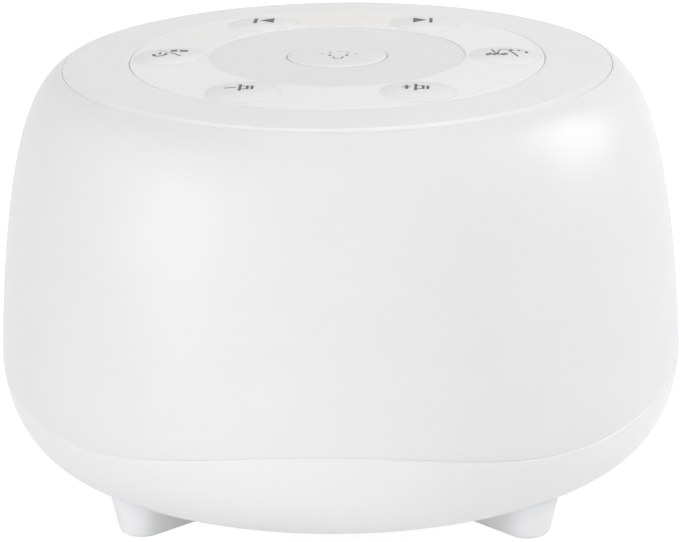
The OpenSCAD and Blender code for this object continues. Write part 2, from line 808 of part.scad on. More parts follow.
// A pleated ring of sheet between an outer and an inner lip, in cross-section
function pleat(outer_r, inner_r, z0, z1, height, waves, count, lift) =
  [for (t = steps(0, 1, count))
    [outer_r + (inner_r - outer_r) * t, z0 + (z1 - z0) * t + height * sin(waves * t) + lift]];
function backwards(list) = [for (i = [len(list) - 1:-1:0]) list[i]];

module speaker_surround() {
  roll_out = speaker_open_r + 0.2;
  lip_z = cone_lip_z + sheet_t;
  low = pleat(roll_out, cone_lip_out, flange_top, lip_z, roll_h, 180, 12, 0);
  high = pleat(roll_out, cone_lip_out, flange_top, lip_z, roll_h, 180, 12, sheet_t);
  color([0.08, 0.08, 0.08]) rotate_extrude() polygon(concat(
    [[surround_out_r, flange_top]], low, [[cone_lip_in, lip_z], [cone_lip_in, lip_z + sheet_t]],
    backwards(high), [[surround_out_r, flange_top + sheet_t]]));
}

module speaker_cone() {
  color([0.22, 0.22, 0.23]) rotate_extrude() polygon([[cone_lip_out, cone_lip_z],
    [cone_rim_r, cone_lip_z], [neck_r, neck_z], [neck_r, neck_z + cone_t],
    [cone_lip_in - 0.1, cone_lip_z + sheet_t], [cone_lip_out, cone_lip_z + sheet_t]]);
}

module speaker_dust_cap() {
  rim_z = cone_lip_z + cone_depth * (cone_rim_r - cap_r) / (cone_rim_r - neck_r) - 0.07;
  dome = [for (r = steps(0, cap_r, 10)) [r, rim_z - cap_rise * (1 - pow(r / cap_r, 2))]];
  color([0.18, 0.18, 0.19]) rotate_extrude()
    polygon(concat(dome, [for (p = backwards(dome)) p - [0, sheet_t]]));
}

module voice_coil() {
  color([0.72, 0.45, 0.20]) ring(coil_out_r, coil_r, coil_bottom, coil_top);
}

module speaker_spider() {
  lip_r = spider_wall_r - 0.4;
  z0 = spider_ledge_z - sheet_t;
  z1 = neck_z + cone_t + 0.4;
  pleat_h = 0.3;
  turns = 4 * 360;
  low = pleat(spider_ledge_r, neck_r, z0, z1, pleat_h, turns, 32, 0);
  high = pleat(spider_ledge_r, neck_r, z0, z1, pleat_h, turns, 32, sheet_t);
  color([0.75, 0.60, 0.30]) rotate_extrude() polygon(concat(
    [[lip_r, z0]], low, backwards(high), [[lip_r, z0 + sheet_t]]));
}

module speaker_front_plate() {
  color([0.62, 0.63, 0.65]) ring(steel_r, gap_out_r, steel_z, magnet_z);
}

module speaker_magnet() {
  color([0.25, 0.25, 0.26]) ring(magnet_r, gap_out_r + 1.4, magnet_z, back_z);
}

module speaker_back_plate() {
  color([0.62, 0.63, 0.65]) {
    disc(steel_r, back_z, back_z + steel_t);
    disc(pole_r, steel_z, back_z + eps);
  }
}

module speaker_screws() {
  color([0.70, 0.71, 0.73]) around(diagonals, speaker_screw_ring) {
    disc(small_head_r, flange_top, flange_top + small_head_h);
    disc(small_screw_r, floor_top - 0.6, flange_top + eps);
  }
}

module speaker_leads() {
  color([0.65, 0.10, 0.10]) for (x = [-lead_x, lead_x])
    translate([x, -terminal_y, 0]) disc(lead_r, steel_z, main_board_z);
}

module main_board() {
  color([0.10, 0.36, 0.22]) difference() {
    disc(main_board_r, main_board_z, main_board_top);
    around(squares, pillar_ring_r)
      disc(small_hole_r, main_board_z - 1, main_board_top + 1);
  }
}

// A box that stands on the main board, its middle at shares of the board's radius
module on_board(place, w, d, h) {
  translate([main_board_r * place[0] - w / 2, main_board_r * place[1] - d / 2, main_board_top])
    cube([w, d, h]);
}

module board_chips() {
  color([0.10, 0.10, 0.11]) {
    on_board([-0.18, 0.09], processor_w, processor_w, chip_h);
    on_board([0.28, 0.25], driver_w, driver_d, chip_h);
    on_board([0.31, -0.12], driver_d, driver_d, chip_h);
    on_board([-0.55, -0.25], memory_d, memory_d, chip_h);
    on_board([0.06, 0.49], memory_w, memory_d, chip_h);
  }
}

module board_capacitors() {
  places = [[0.55, 0.37], [0.55, 0.15], [-0.49, 0.43], [0.62, -0.18]];
  color([0.18, 0.20, 0.30]) for (p = places)
    translate(main_board_r * p) disc(capacitor_r, main_board_top, main_board_top + capacitor_h);
}

module board_connectors() {
  color([0.93, 0.91, 0.85]) {
    on_board([0, -flat_cable_y / main_board_r], flat_plug_w, flat_plug_d, flat_plug_h);
    on_board([-0.37, -0.52], wire_plug_w, wire_plug_d, wire_plug_h);
    on_board([-0.31, 0.68], wire_plug_w, wire_plug_d, wire_plug_h);
    translate([-flat_plug_w / 2, -flat_cable_y - flat_plug_d / 2, key_board_bottom - flat_plug_h])
      cube([flat_plug_w, flat_plug_d, flat_plug_h]);
  }
}

module main_board_screws() {
  color([0.70, 0.71, 0.73]) around(squares, pillar_ring_r) small_screw(main_board_top);
}

module ribbon_cable() {
  low = main_board_top + flat_plug_h;
  high = key_board_bottom - flat_plug_h;
  color([0.90, 0.90, 0.92])
    translate([-flat_cable_w / 2, -flat_cable_y - flat_cable_t / 2, low])
      cube([flat_cable_w, flat_cable_t, high - low]);
}

module socket_board() {
  color([0.10, 0.36, 0.22]) difference() {
    translate([-shelf_half_w + 0.4, shelf_front_y + 0.4, shelf_top])
      cube([2 * shelf_half_w - 0.8, socket_board_end_y - shelf_front_y - 0.4, socket_board_t]);
    for (x = [-socket_screw_x, socket_screw_x])
      translate([x, socket_screw_y, 0])
        disc(small_hole_r, shelf_top - 1, socket_board_top + 1);
  }
}

module power_socket() {
  color([0.75, 0.76, 0.78]) translate([0, 0, socket_z]) difference() {
    round_slot(socket_w, socket_h, socket_face_y - socket_l, socket_face_y);
    round_slot(socket_w - 2 * socket_shell_t, socket_h - 2 * socket_shell_t,
      socket_face_y - socket_l + 0.5, socket_face_y + 1);
  }
}

module socket_tongue() {
  color([0.08, 0.08, 0.08])
    translate([-tongue_w / 2, socket_face_y - socket_l + 0.5, socket_z - tongue_h / 2])
      cube([tongue_w, socket_l - 1.6, tongue_h]);
}

module socket_screws() {
  color([0.70, 0.71, 0.73]) for (x = [-socket_screw_x, socket_screw_x])
    translate([x, socket_screw_y, 0]) small_screw(socket_board_top);
}

// Two insulated wires from the socket's board up to the underside of the main board
module power_leads() {
  color([0.65, 0.10, 0.10]) for (side = [-1, 1]) {
    path = [
      [side * lead_start_x, shelf_front_y + lead_solder_gap, socket_board_top + lead_r],
      [side * lead_bend_x, main_board_r - lead_bend_inset, main_board_z - lead_bend_drop],
      [side * lead_end_x, main_board_r - lead_end_inset, main_board_z - lead_r]];
    for (i = [0:1]) hull() {
      translate(path[i]) sphere(r = lead_r, $fn = 10);
      translate(path[i + 1]) sphere(r = lead_r, $fn = 10);
    }
  }
}

housing();
base_shell();
foot_front_right();
foot_back_right();
foot_back_left();
foot_front_left();
base_screws();
top_cover();
light_ring();
centre_plate();
light_baffle();
light_button();
key_timer();
key_volume_down();
key_volume_up();
key_sound();
key_next();
key_previous();
plunger_light();
plunger_timer();
plunger_volume_down();
plunger_volume_up();
plunger_sound();
plunger_next();
plunger_previous();
key_switches();
key_board();
light_leds();
key_board_screws();
grille_cloth();
speaker_gasket();
speaker_frame();
speaker_surround();
speaker_cone();
speaker_dust_cap();
voice_coil();
speaker_spider();
speaker_front_plate();
speaker_magnet();
speaker_back_plate();
speaker_screws();
speaker_leads();
main_board();
board_chips();
board_capacitors();
board_connectors();
main_board_screws();
ribbon_cable();
socket_board();
power_socket();
socket_tongue();
socket_screws();
power_leads();
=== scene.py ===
"""The looks of a round white noise sound machine, built around its CAD part.

Lengths in the shape code are millimetres in the CAD frame: the origin is under the middle
of the body on the surface that the feet stand on, +Z is up and the front faces -Y.
"""
import math

import bmesh
import bpy
import numpy as np
from mathutils import Matrix, Vector


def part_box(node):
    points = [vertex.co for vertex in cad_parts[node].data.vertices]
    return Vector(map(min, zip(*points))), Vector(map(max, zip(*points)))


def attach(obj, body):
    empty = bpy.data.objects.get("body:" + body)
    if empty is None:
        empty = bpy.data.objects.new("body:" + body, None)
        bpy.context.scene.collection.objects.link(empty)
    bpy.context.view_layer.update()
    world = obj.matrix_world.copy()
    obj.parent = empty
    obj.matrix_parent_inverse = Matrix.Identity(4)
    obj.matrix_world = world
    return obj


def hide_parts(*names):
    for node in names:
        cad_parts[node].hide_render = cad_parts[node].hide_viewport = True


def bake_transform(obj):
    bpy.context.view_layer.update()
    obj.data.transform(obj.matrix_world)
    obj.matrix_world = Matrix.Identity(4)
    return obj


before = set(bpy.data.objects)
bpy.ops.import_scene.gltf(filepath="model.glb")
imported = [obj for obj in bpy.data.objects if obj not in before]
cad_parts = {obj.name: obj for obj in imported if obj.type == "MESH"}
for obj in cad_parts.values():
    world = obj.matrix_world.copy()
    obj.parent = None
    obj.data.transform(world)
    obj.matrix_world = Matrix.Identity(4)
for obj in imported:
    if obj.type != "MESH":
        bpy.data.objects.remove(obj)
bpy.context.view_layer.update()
MM = 0.001

# Outline of the body, as in the part but for a radius a hair smaller, to stay inside its box
BODY_R = 52.475
BODY_H = 66.4
BELLY_Z = 20.8
GROUND_GAP = 4.2
SHOULDER_POWER = 13.1
SIDE_POWER = 1.32
BILGE_POWER = 10.4
KEEL_POWER = 1.75
WALL = 2.3
DECK_R = 41.6
CROWN_RISE = 1.3
SEAM_Z = 18.6
SEAM_WAVE = 2.1
SEAM_LOBES = 4
# The part leaves room at its seams; here they are the hairlines that the photograph shows
SEAM_GAP = 0.01
TONGUE_TOP = 22.0
TONGUE_T = 1.8
FLOOR_T = 2.0
DECK_EDGE_Z = BODY_H - CROWN_RISE
APEX_Z = BELLY_Z + (DECK_EDGE_Z - BELLY_Z) / (
    (1 - (DECK_R / BODY_R) ** SHOULDER_POWER) ** (1 / SIDE_POWER))

# Top: the faces on both sides of each round seam, and the levels under it
RIM_R = 41.64
COVER_R = 41.62
COVER_IN_R = 31.52
RING_OUT_R = 31.48
RING_IN_R = 19.52
PLATE_R = 19.51
PLATE_SEAT_R = 19.6
PLATE_SINK = 0.2
PLATE_TOP = BODY_H - CROWN_RISE * (PLATE_SEAT_R / DECK_R) ** 2 - PLATE_SINK
COVER_BOTTOM = 62.9
RING_BOTTOM = 62.4
LEDGE_TOP = 62.8
LEDGE_BOTTOM = 60.8
LEDGE_R = 40.15

# Keys and light button
KEY_RING_R = 25.5
KEY_R = 5.5
KEY_CLEAR = 0.01
BUTTON_R = 7.55
BUTTON_CLEAR = 0.1
BUTTON_PROUD = 0.2
BUTTON_CROWN = 0.1
# Width and drop of the slope along the button's edge
BUTTON_CHAMFER = (0.6, 0.17)
NO_CHAMFER = (0.0, 0.0)
KEY_CROWN = 0.58
CROWN_POWER = 3
FLANGE_W = 0.75
FLANGE_T = 1.0
STEM_R = 2.0
PLUNGER_TOP = 58.6
KEY_FLANGE_TOP = RING_BOTTOM - 0.2
BUTTON_FLANGE_TOP = 63.9
KEY_NAMES = ("timer", "volume_down", "volume_up", "sound", "next", "previous")

DIAGONALS = (45, 135, 225, 315)
SQUARES = (0, 90, 180, 270)
# Sections in a full turn, of the large pieces, the keys and their holes, and the small rods
TURN = 256
KEY_TURN = 128
ROD_TURN = 48
# An edge that bends by more degrees than this is shaded as a sharp one
SHARP = 35
SCREW_HOLE_R = 0.8
ROD_EDGE = 0.2
# How deep an inner part reaches into the wall that carries it
SINK = 0.2
DEEP_SINK = 0.3


# ------------------------ outline
def upper_r(z, inset=0.0):
    share = (z - BELLY_Z) / (APEX_Z - inset - BELLY_Z)
    return (BODY_R - inset) * (1 - share ** SIDE_POWER) ** (1 / SHOULDER_POWER)


def upper_z(r):
    return BELLY_Z + (APEX_Z - BELLY_Z) * (1 - (r / BODY_R) ** SHOULDER_POWER) ** (1 / SIDE_POWER)


def lower_r(z, inset=0.0, rise=0.0):
    share = (BELLY_Z - z) / (BELLY_Z - GROUND_GAP - rise)
    return (BODY_R - inset) * (1 - share ** KEEL_POWER) ** (1 / BILGE_POWER)


def lower_z(r, inset=0.0, rise=0.0):
    share = (r / (BODY_R - inset)) ** BILGE_POWER
    return BELLY_Z - (BELLY_Z - GROUND_GAP - rise) * (1 - share) ** (1 / KEEL_POWER)


def side_r(z, inset=0.0, rise=0.0):
    return lower_r(z, inset, rise) if z < BELLY_Z else upper_r(z, inset)


def deck_z(r):
    return BODY_H - CROWN_RISE * (r / DECK_R) ** 2


def wave_at(angle):
    return SEAM_Z + SEAM_WAVE * math.cos(math.radians(SEAM_LOBES * (angle + 90)))


def steps(start, end, count):
    return [start + (end - start) * i / count for i in range(count + 1)]


def half_turn(count):
    return np.linspace(-math.pi / 2, math.pi / 2, count)


def quarter_turn(count):
    return np.linspace(0, math.pi / 2, count)


# ------------------------ mesh tools
def rounded(points, segments=4):
    """A closed outline of (r, z, radius) corners, with each corner rounded by its radius."""
    result = []
    count = len(points)
    for i, (x, y, radius) in enumerate(points):
        if radius <= 0:
            result.append((x, y))
            continue
        here = np.array((x, y))
        back = np.array(points[i - 1][:2]) - here
        ahead = np.array(points[(i + 1) % count][:2]) - here
        back /= np.linalg.norm(back)
        ahead /= np.linalg.norm(ahead)
        half = math.acos(max(-1.0, min(1.0, float(back @ ahead)))) / 2
        middle = back + ahead
        middle /= np.linalg.norm(middle)
        centre = here + middle * radius / math.sin(half)
        first = here + back * radius / math.tan(half) - centre
        last = here + ahead * radius / math.tan(half) - centre
        turn = math.atan2(first[0] * last[1] - first[1] * last[0], float(first @ last))
        for k in range(segments + 1):
            a = turn * k / segments
            c, s = math.cos(a), math.sin(a)
            result.append((centre[0] + c * first[0] - s * first[1],
                           centre[1] + s * first[0] + c * first[1]))
    return result


def placed(name, data):
    """A new object of the data, in the scene."""
    obj = bpy.data.objects.new(name, data)
    bpy.context.scene.collection.objects.link(obj)
    return obj


def mesh_object(name, verts, faces, sharp=SHARP):
    mesh = bpy.data.meshes.new(name)
    mesh.from_pydata([(x * MM, y * MM, z * MM) for x, y, z in verts], [], faces)
    mesh.validate()
    obj = placed(name, mesh)
    smooth(obj, sharp)
    return obj


def smooth(obj, sharp=SHARP):
    mesh = obj.data
    mesh.polygons.foreach_set("use_smooth", [True] * len(mesh.polygons))
    mesh.set_sharp_from_angle(angle=math.radians(sharp))
    mesh.update()


def turned(section_at, count=TURN, centre=(0.0, 0.0)):
    """Vertices and faces of closed sections set round the axis; a point at r = 0 is shared."""
    verts, index = [], []
    shared = {}
    for s in range(count):
        angle = 360.0 * s / count
        c, n = math.cos(math.radians(angle)), math.sin(math.radians(angle))
        row = []
        for k, (r, z) in enumerate(section_at(angle)):
            if r < 1e-6:
                if k not in shared:
                    shared[k] = len(verts)
                    verts.append((centre[0], centre[1], z))
                row.append(shared[k])
            else:
                row.append(len(verts))
                verts.append((centre[0] + r * c, centre[1] + r * n, z))
        index.append(row)
    faces = []
    length = len(index[0])
    for s in range(count):
        here, there = index[s], index[(s + 1) % count]
        for k in range(length):
            m = (k + 1) % length
            corners = [here[k], there[k], there[m], here[m]]
            face = [v for i, v in enumerate(corners) if v not in corners[:i]]
            if len(face) > 2:
                faces.append(face)
    return verts, faces


def outward(verts, faces):
    """The faces, turned so that they look out of the solid."""
    volume = 0.0
    for f in faces:
        a = Vector(verts[f[0]])
        for i in range(1, len(f) - 1):
            volume += a.dot(Vector(verts[f[i]]).cross(Vector(verts[f[i + 1]])))
    return faces if volume > 0 else [list(reversed(f)) for f in faces]


def lathe(name, section, count=TURN, centre=(0.0, 0.0)):
    """A solid of revolution; section is a list of (r, z) or a function of the angle."""
    section_at = section if callable(section) else lambda angle: section
    verts, faces = turned(section_at, count, centre)
    return mesh_object(name, verts, outward(verts, faces))


def warped_lathe(name, section, centre, count):
    """A lathe whose heights are measured from the domed deck above each point."""
    verts, faces = turned(lambda angle: section, count, centre)
    faces = outward(verts, faces)
    verts = [(x, y, z + deck_z(math.hypot(x, y))) for x, y, z in verts]
    return mesh_object(name, verts, faces)


def join(name, objects):
    """One object from several, in the order given."""
    verts, faces = [], []
    for obj in objects:
        start = len(verts)
        verts += [tuple(c / MM for c in v.co) for v in obj.data.vertices]
        faces += [[start + i for i in p.vertices] for p in obj.data.polygons]
        bpy.data.objects.remove(obj)
    return mesh_object(name, verts, faces)


def cut(obj, cutters, sharp=SHARP):
    """Takes the cutters out of obj and leaves the result as its mesh."""
    for tool in cutters:
        modifier = obj.modifiers.new("cut", "BOOLEAN")
        modifier.operation = "DIFFERENCE"
        modifier.solver = "EXACT"
        modifier.object = tool
    graph = bpy.context.evaluated_depsgraph_get()
    made = bpy.data.meshes.new_from_object(obj.evaluated_get(graph))
    obj.modifiers.clear()
    made.name = obj.name
    obj.data = made
    for tool in cutters:
        bpy.data.objects.remove(tool)
    smooth(obj, sharp)


def prism(name, outline_at, levels, sharp=SHARP):
    """A solid between stacked outlines of equal length; level k gives each (x, y, z)."""
    verts, faces = [], []
    count = len(outline_at(levels[0]))
    for level in levels:
        verts += outline_at(level)
    for k in range(len(levels) - 1):
        for i in range(count):
            m = (i + 1) % count
            low, high = k * count, (k + 1) * count
            faces.append([low + i, low + m, high + m, high + i])
    faces.append(list(reversed(range(count))))
    faces.append([(len(levels) - 1) * count + i for i in range(count)])
    return mesh_object(name, verts, outward(verts, faces), sharp)


def bevelled_box(name, low, high, bevel):
    """A box with bevelled edges between two corners."""
    mesh = bpy.data.meshes.new(name)
    bm = bmesh.new()
    bmesh.ops.create_cube(bm, size=1.0)
    size = [b - a for a, b in zip(low, high)]
    middle = [(a + b) / 2 for a, b in zip(low, high)]
    for v in bm.verts:
        v.co = Vector([(m + c * s) * MM for m, c, s in zip(middle, v.co, size)])
    bmesh.ops.bevel(bm, geom=list(bm.edges), offset=bevel * MM, segments=2, profile=0.5,
                    affect="EDGES")
    bm.to_mesh(mesh)
    bm.free()
    obj = placed(name, mesh)
    smooth(obj)
    return obj


def turn_about_axis(obj, angle):
    obj.data.transform(Matrix.Rotation(math.radians(angle), 4, "Z"))
    return obj


def polar(radius, angle):
    return radius * math.cos(math.radians(angle)), radius * math.sin(math.radians(angle))


def dress(obj, material, body, node=None):
    """Gives a piece its material and body, and hides the CAD node that it stands for."""
    obj.data.materials.clear()
    obj.data.materials.append(material)
    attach(obj, body)
    if node:
        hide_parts(node)


# ------------------------ housing
EDGE_ROUND = 0.08
RIM_ROUND = 0.2
# Plain wall between a rounded edge and the first even step along the wall
SEAM_KEEP = 1.2
RIM_KEEP = 0.7
# Height above which the side is drawn in finer steps, and where the shoulder turns over
FINE_Z = 24.0
SHOULDER_IN = 7
BORE_STEP = 0.4
TONGUE_IN = 0.25
TONGUE_CLEAR = 0.1
TONGUE_R = upper_r(TONGUE_TOP, WALL) - TONGUE_IN
BORE_R = TONGUE_R + TONGUE_CLEAR
SOCKET_Z = 26.93
SOCKET_W = 8.94
SOCKET_H = 3.26
SOCKET_CLEAR = 0.22
RECESS_W = 13.4
RECESS_H = 7.4
RECESS_DEPTH = 0.8
RECESS_FLARE = 0.5
# Widening of the plug's slot and its place behind the recess's floor, from the inside out
OPENING_LEVELS = ((0.0, -5.0), (0.0, -0.25), (0.08, -0.1), (0.25, 0.05))


def housing_section(angle):
    """Outside from the wavy edge up to the deck, then down the inside."""
    edge = wave_at(angle) + SEAM_GAP / 2
    turn_r = BODY_R - SHOULDER_IN
    points = [(side_r(edge), edge, EDGE_ROUND)]
    points += [(side_r(z), z, 0) for z in steps(edge + SEAM_KEEP, FINE_Z, 6)]
    points += [(upper_r(z), z, 0) for z in steps(FINE_Z, upper_z(turn_r), 40)[1:]]
    points += [(r, upper_z(r), 0) for r in steps(turn_r, RIM_R + RIM_KEEP, 8)[1:]]
    points += [(RIM_R, upper_z(RIM_R), RIM_ROUND), (RIM_R, LEDGE_TOP, 0), (LEDGE_R, LEDGE_TOP, 0),
               (LEDGE_R, LEDGE_BOTTOM, 0)]
    inside_low = TONGUE_TOP + BORE_STEP
    points += [(upper_r(z, WALL), z, 0) for z in steps(LEDGE_BOTTOM, inside_low, 16)]
    points += [(BORE_R, inside_low, 0), (BORE_R, edge, 0)]
    return rounded(points)


def slot_outline(width, height):
    """An upright outline with round ends, as (x, z) about its middle."""
    end = height / 2
    right = [(width / 2 - end + end * math.cos(a), end * math.sin(a)) for a in half_turn(24)]
    return right + [(-x, -z) for x, z in right]


def recess_cutter():
    """The recess round the socket; its mouth flares so that the edge is rounded."""
    steep, flat = math.radians(80), 0.25
    mouth = [(RECESS_FLARE * (1 - math.cos(a)), RECESS_FLARE * (1 - math.sin(a)), False)
             for a in np.linspace(steep, flat, 6)]
    levels = [(0.0, 0.0, True)] + mouth + [(RECESS_FLARE * 1.6, -1.0, False)]

    def outline(level):
        offset, depth, floor = level
        points = []
        for x, z in slot_outline(RECESS_W + 2 * offset, RECESS_H + 2 * offset):
            wall_y = math.sqrt(side_r(SOCKET_Z + z) ** 2 - x * x)
            y = side_r(SOCKET_Z) - RECESS_DEPTH if floor else wall_y - depth
            points.append((x, y, SOCKET_Z + z))
        return points

    return prism("recess_cutter", outline, levels)


def opening_cutter():
    """The slot that the plug goes through."""
    face = side_r(SOCKET_Z) - RECESS_DEPTH

    def outline(level):
        offset, y = level
        width = SOCKET_W + 2 * SOCKET_CLEAR + 2 * offset
        height = SOCKET_H + 2 * SOCKET_CLEAR + 2 * offset
        return [(x, face + y, SOCKET_Z + z) for x, z in slot_outline(width, height)]

    return prism("opening_cutter", outline, OPENING_LEVELS)


def make_housing(material):
    shell = lathe("housing_shell", housing_section)
    cut(shell, [recess_cutter(), opening_cutter()])
    dress(shell, material, "body", "housing")


def tube(name, outer, inner, bottom, top, centre, count=ROD_TURN):
    """An upright tube with rounded rims, or a rod where its inner radius is 0."""
    section = rounded([(inner, bottom, 0), (outer, bottom, ROD_EDGE), (outer, top, ROD_EDGE),
                       (inner, top, 0)], 2)
    return lathe(name, section, count, centre)


POST_RING_R = 37.0
POST_R = 3.5
POST_BOTTOM = 11.7
POST_TOP = 47.9
SCREW_R = 1.0
RIB_T = 1.6
RIB_BOTTOM = 23.0
RIB_TOP = 39.9
SHELF_FRONT_Y = 35.5
SHELF_BOTTOM = 22.5
SHELF_TOP = 24.1
SHELF_HALF_W = 9.0
SHELF_CLEAR = 0.4
SOCKET_SCREW_X = 6.0
SOCKET_SCREW_Y = 38.6
SOCKET_BOSS_R = 2.2
SOCKET_BOSS_L = 3.4


def make_housing_inside(material):
    """Screw posts with their ribs, and the shelf under the power socket."""
    parts = [tube("post", POST_R, SCREW_R, POST_BOTTOM, POST_TOP, polar(POST_RING_R, a))
             for a in DIAGONALS]
    for a in DIAGONALS:
        rib = bevelled_box("rib", (POST_RING_R + POST_R - SINK, -RIB_T / 2, RIB_BOTTOM),
                           (BODY_R - WALL + DEEP_SINK, RIB_T / 2, RIB_TOP), ROD_EDGE)
        parts.append(turn_about_axis(rib, a))
    parts.append(bevelled_box("shelf", (-SHELF_HALF_W, SHELF_FRONT_Y, SHELF_BOTTOM),
                              (SHELF_HALF_W, BODY_R - WALL - SHELF_CLEAR, SHELF_TOP), ROD_EDGE))
    for x in (-SOCKET_SCREW_X, SOCKET_SCREW_X):
        parts.append(tube("boss", SOCKET_BOSS_R, SCREW_HOLE_R, SHELF_BOTTOM - SOCKET_BOSS_L,
                          SHELF_BOTTOM + SINK, (x, SOCKET_SCREW_Y)))
    dress(join("housing_posts", parts), material, "body", "housing")


# ------------------------ base shell
# Radius at which the underside turns up into the side, and the places that its curve goes through
BOWL_TURN_R = 46.5
UNDERSIDE_RADII = (2, 8, 14, 20, 26, 31, 35, 38, 40.5, 42.5, 44.2, 45.5)
FLOOR_RADII = (42.5, 40, 37, 33, 28, 20, 10)
INSIDE_TOP = 15.0
# Height of the bevelled lip, how far it leans in, and the rounding of its two edges
LIP_H = 0.32
LIP_IN = 0.22
LIP_ROUND = 0.12
LIP_TOP_ROUND = 0.03
TONGUE_ROUND = 0.2
GRILLE_HOLE_R = 1.2
GRILLE_PITCH = 4.4
GRILLE_RINGS = 4
PEG_RING_R = 32.3
PEG_HOLE_R = 1.3
FLOOR_TOP = GROUND_GAP + FLOOR_T
# The wells of the base screws, the bosses over them, and what carries the speaker and main board
WELL_R = 2.5
WELL_TOP = 8.0
BOSS_R = 4.0
BOSS_HOLE_R = 1.4
BOSS_TOP = 11.5
EAR_BOSS_R = 2.6
EAR_RING_R = 28.0
FLANGE_Z = 8.2
PILLAR_R = 2.4
PILLAR_RING_R = 29.5
PILLAR_TOP = 36.4


def base_section(angle):
    """Underside and side up to the wavy edge, over the tongue and down the inside."""
    edge = wave_at(angle) - SEAM_GAP / 2
    turn_z = lower_z(BOWL_TURN_R)
    points = [(0.0, GROUND_GAP, 0)]
    points += [(r, lower_z(r), 0) for r in UNDERSIDE_RADII]
    points += [(side_r(z), z, 0) for z in steps(turn_z, edge - SEAM_KEEP, 16)]
    points += [(side_r(edge - LIP_H), edge - LIP_H, LIP_ROUND),
               (side_r(edge) - LIP_IN, edge, LIP_TOP_ROUND), (TONGUE_R, edge, 0),
               (TONGUE_R, TONGUE_TOP, TONGUE_ROUND),
               (TONGUE_R - TONGUE_T, TONGUE_TOP, TONGUE_ROUND)]
    inner_low = lower_z(BOWL_TURN_R - WALL, WALL, FLOOR_T)
    points += [(min(lower_r(z, WALL, FLOOR_T), TONGUE_R - TONGUE_T), z, 0)
               for z in steps(INSIDE_TOP, inner_low, 8)]
    points += [(r, lower_z(r, WALL, FLOOR_T), 0) for r in FLOOR_RADII]
    points += [(0.0, FLOOR_TOP, 0)]
    return rounded(points)


def hole_cutter(radius, centre, bottom=GROUND_GAP, top=FLOOR_TOP + 1, flare=0.25, count=20):
    """A bore up from the underside with a flared mouth."""
    section = [(0.0, bottom - 1), (radius + flare + 0.4, bottom - 1), (radius + flare, bottom),
               (radius + flare * 0.4, bottom + flare * 0.4), (radius, bottom + flare),
               (radius, top), (0.0, top)]
    return lathe("hole_cutter", section, count, centre)


def grille_places():
    places = [(0.0, 0.0)]
    for ring in range(1, GRILLE_RINGS + 1):
        places += [polar(ring * GRILLE_PITCH, i * 60.0 / ring) for i in range(6 * ring)]
    return places


def make_base(material):
    bowl = lathe("base_bowl", base_section)
    holes = [hole_cutter(GRILLE_HOLE_R, p) for p in grille_places()]
    holes += [hole_cutter(WELL_R, polar(POST_RING_R, a), lower_z(POST_RING_R), WELL_TOP, 0.1, 32)
              for a in DIAGONALS]
    holes += [hole_cutter(PEG_HOLE_R, polar(PEG_RING_R, a), flare=0.05) for a in DIAGONALS]
    cut(bowl, [join("base_cutter", holes)])
    dress(bowl, material, "body", "base_shell")


def make_base_inside(material):
    """Screw bosses, speaker bosses and the pillars of the main board."""
    parts = []
    foot_z = FLOOR_TOP - SINK / 2
    for a in DIAGONALS:
        post = polar(POST_RING_R, a)
        parts.append(tube("boss", BOSS_R, BOSS_HOLE_R, WELL_TOP, BOSS_TOP, post))
        parts.append(tube("well", BOSS_R, WELL_R, FLOOR_TOP - SINK, WELL_TOP + SINK, post))
        parts.append(tube("ear_boss", EAR_BOSS_R, SCREW_HOLE_R, foot_z, FLANGE_Z,
                          polar(EAR_RING_R, a)))
    parts += [tube("pillar", PILLAR_R, SCREW_HOLE_R, foot_z, PILLAR_TOP, polar(PILLAR_RING_R, a))
              for a in SQUARES]
    dress(join("base_bosses", parts), material, "body", "base_shell")


# ------------------------ feet
FOOT_END_R = 40.6
FOOT_IN_R = 27.0
FOOT_HALF_W = 3.3
FOOT_FLARE = 0.22
FOOT_ROUND = 0.9
FOOT_CORNER = 0.8
# Length of each side, at the inner end, that its even steps leave to the soft corner
FOOT_KEEP = 1.2
FOOT_SHARP = 50
PEG_R = 1.2
PEG_BOTTOM = 3.4
PEG_TURN = 32
FEET = (("foot_front_right", 315), ("foot_back_right", 45), ("foot_back_left", 135),
        ("foot_front_left", 225))


def foot_outline(half, inset):
    """Plan of a foot along +X: round outer end, square inner end with soft corners."""
    outline = [(FOOT_END_R + half * math.cos(a), half * math.sin(a)) for a in half_turn(33)]
    outline += [(x, half) for x in steps(FOOT_END_R, FOOT_IN_R + FOOT_KEEP, 10)[1:]]
    x = FOOT_IN_R + inset + FOOT_CORNER
    y = half - FOOT_CORNER
    outline += [(x - FOOT_CORNER * math.sin(a), y + FOOT_CORNER * math.cos(a))
                for a in quarter_turn(5)]
    outline += [(x - FOOT_CORNER * math.cos(a), -y - FOOT_CORNER * math.sin(a))
                for a in quarter_turn(5)]
    outline += [(x, -half) for x in steps(FOOT_IN_R + FOOT_KEEP, FOOT_END_R, 10)[:-1]]
    return outline


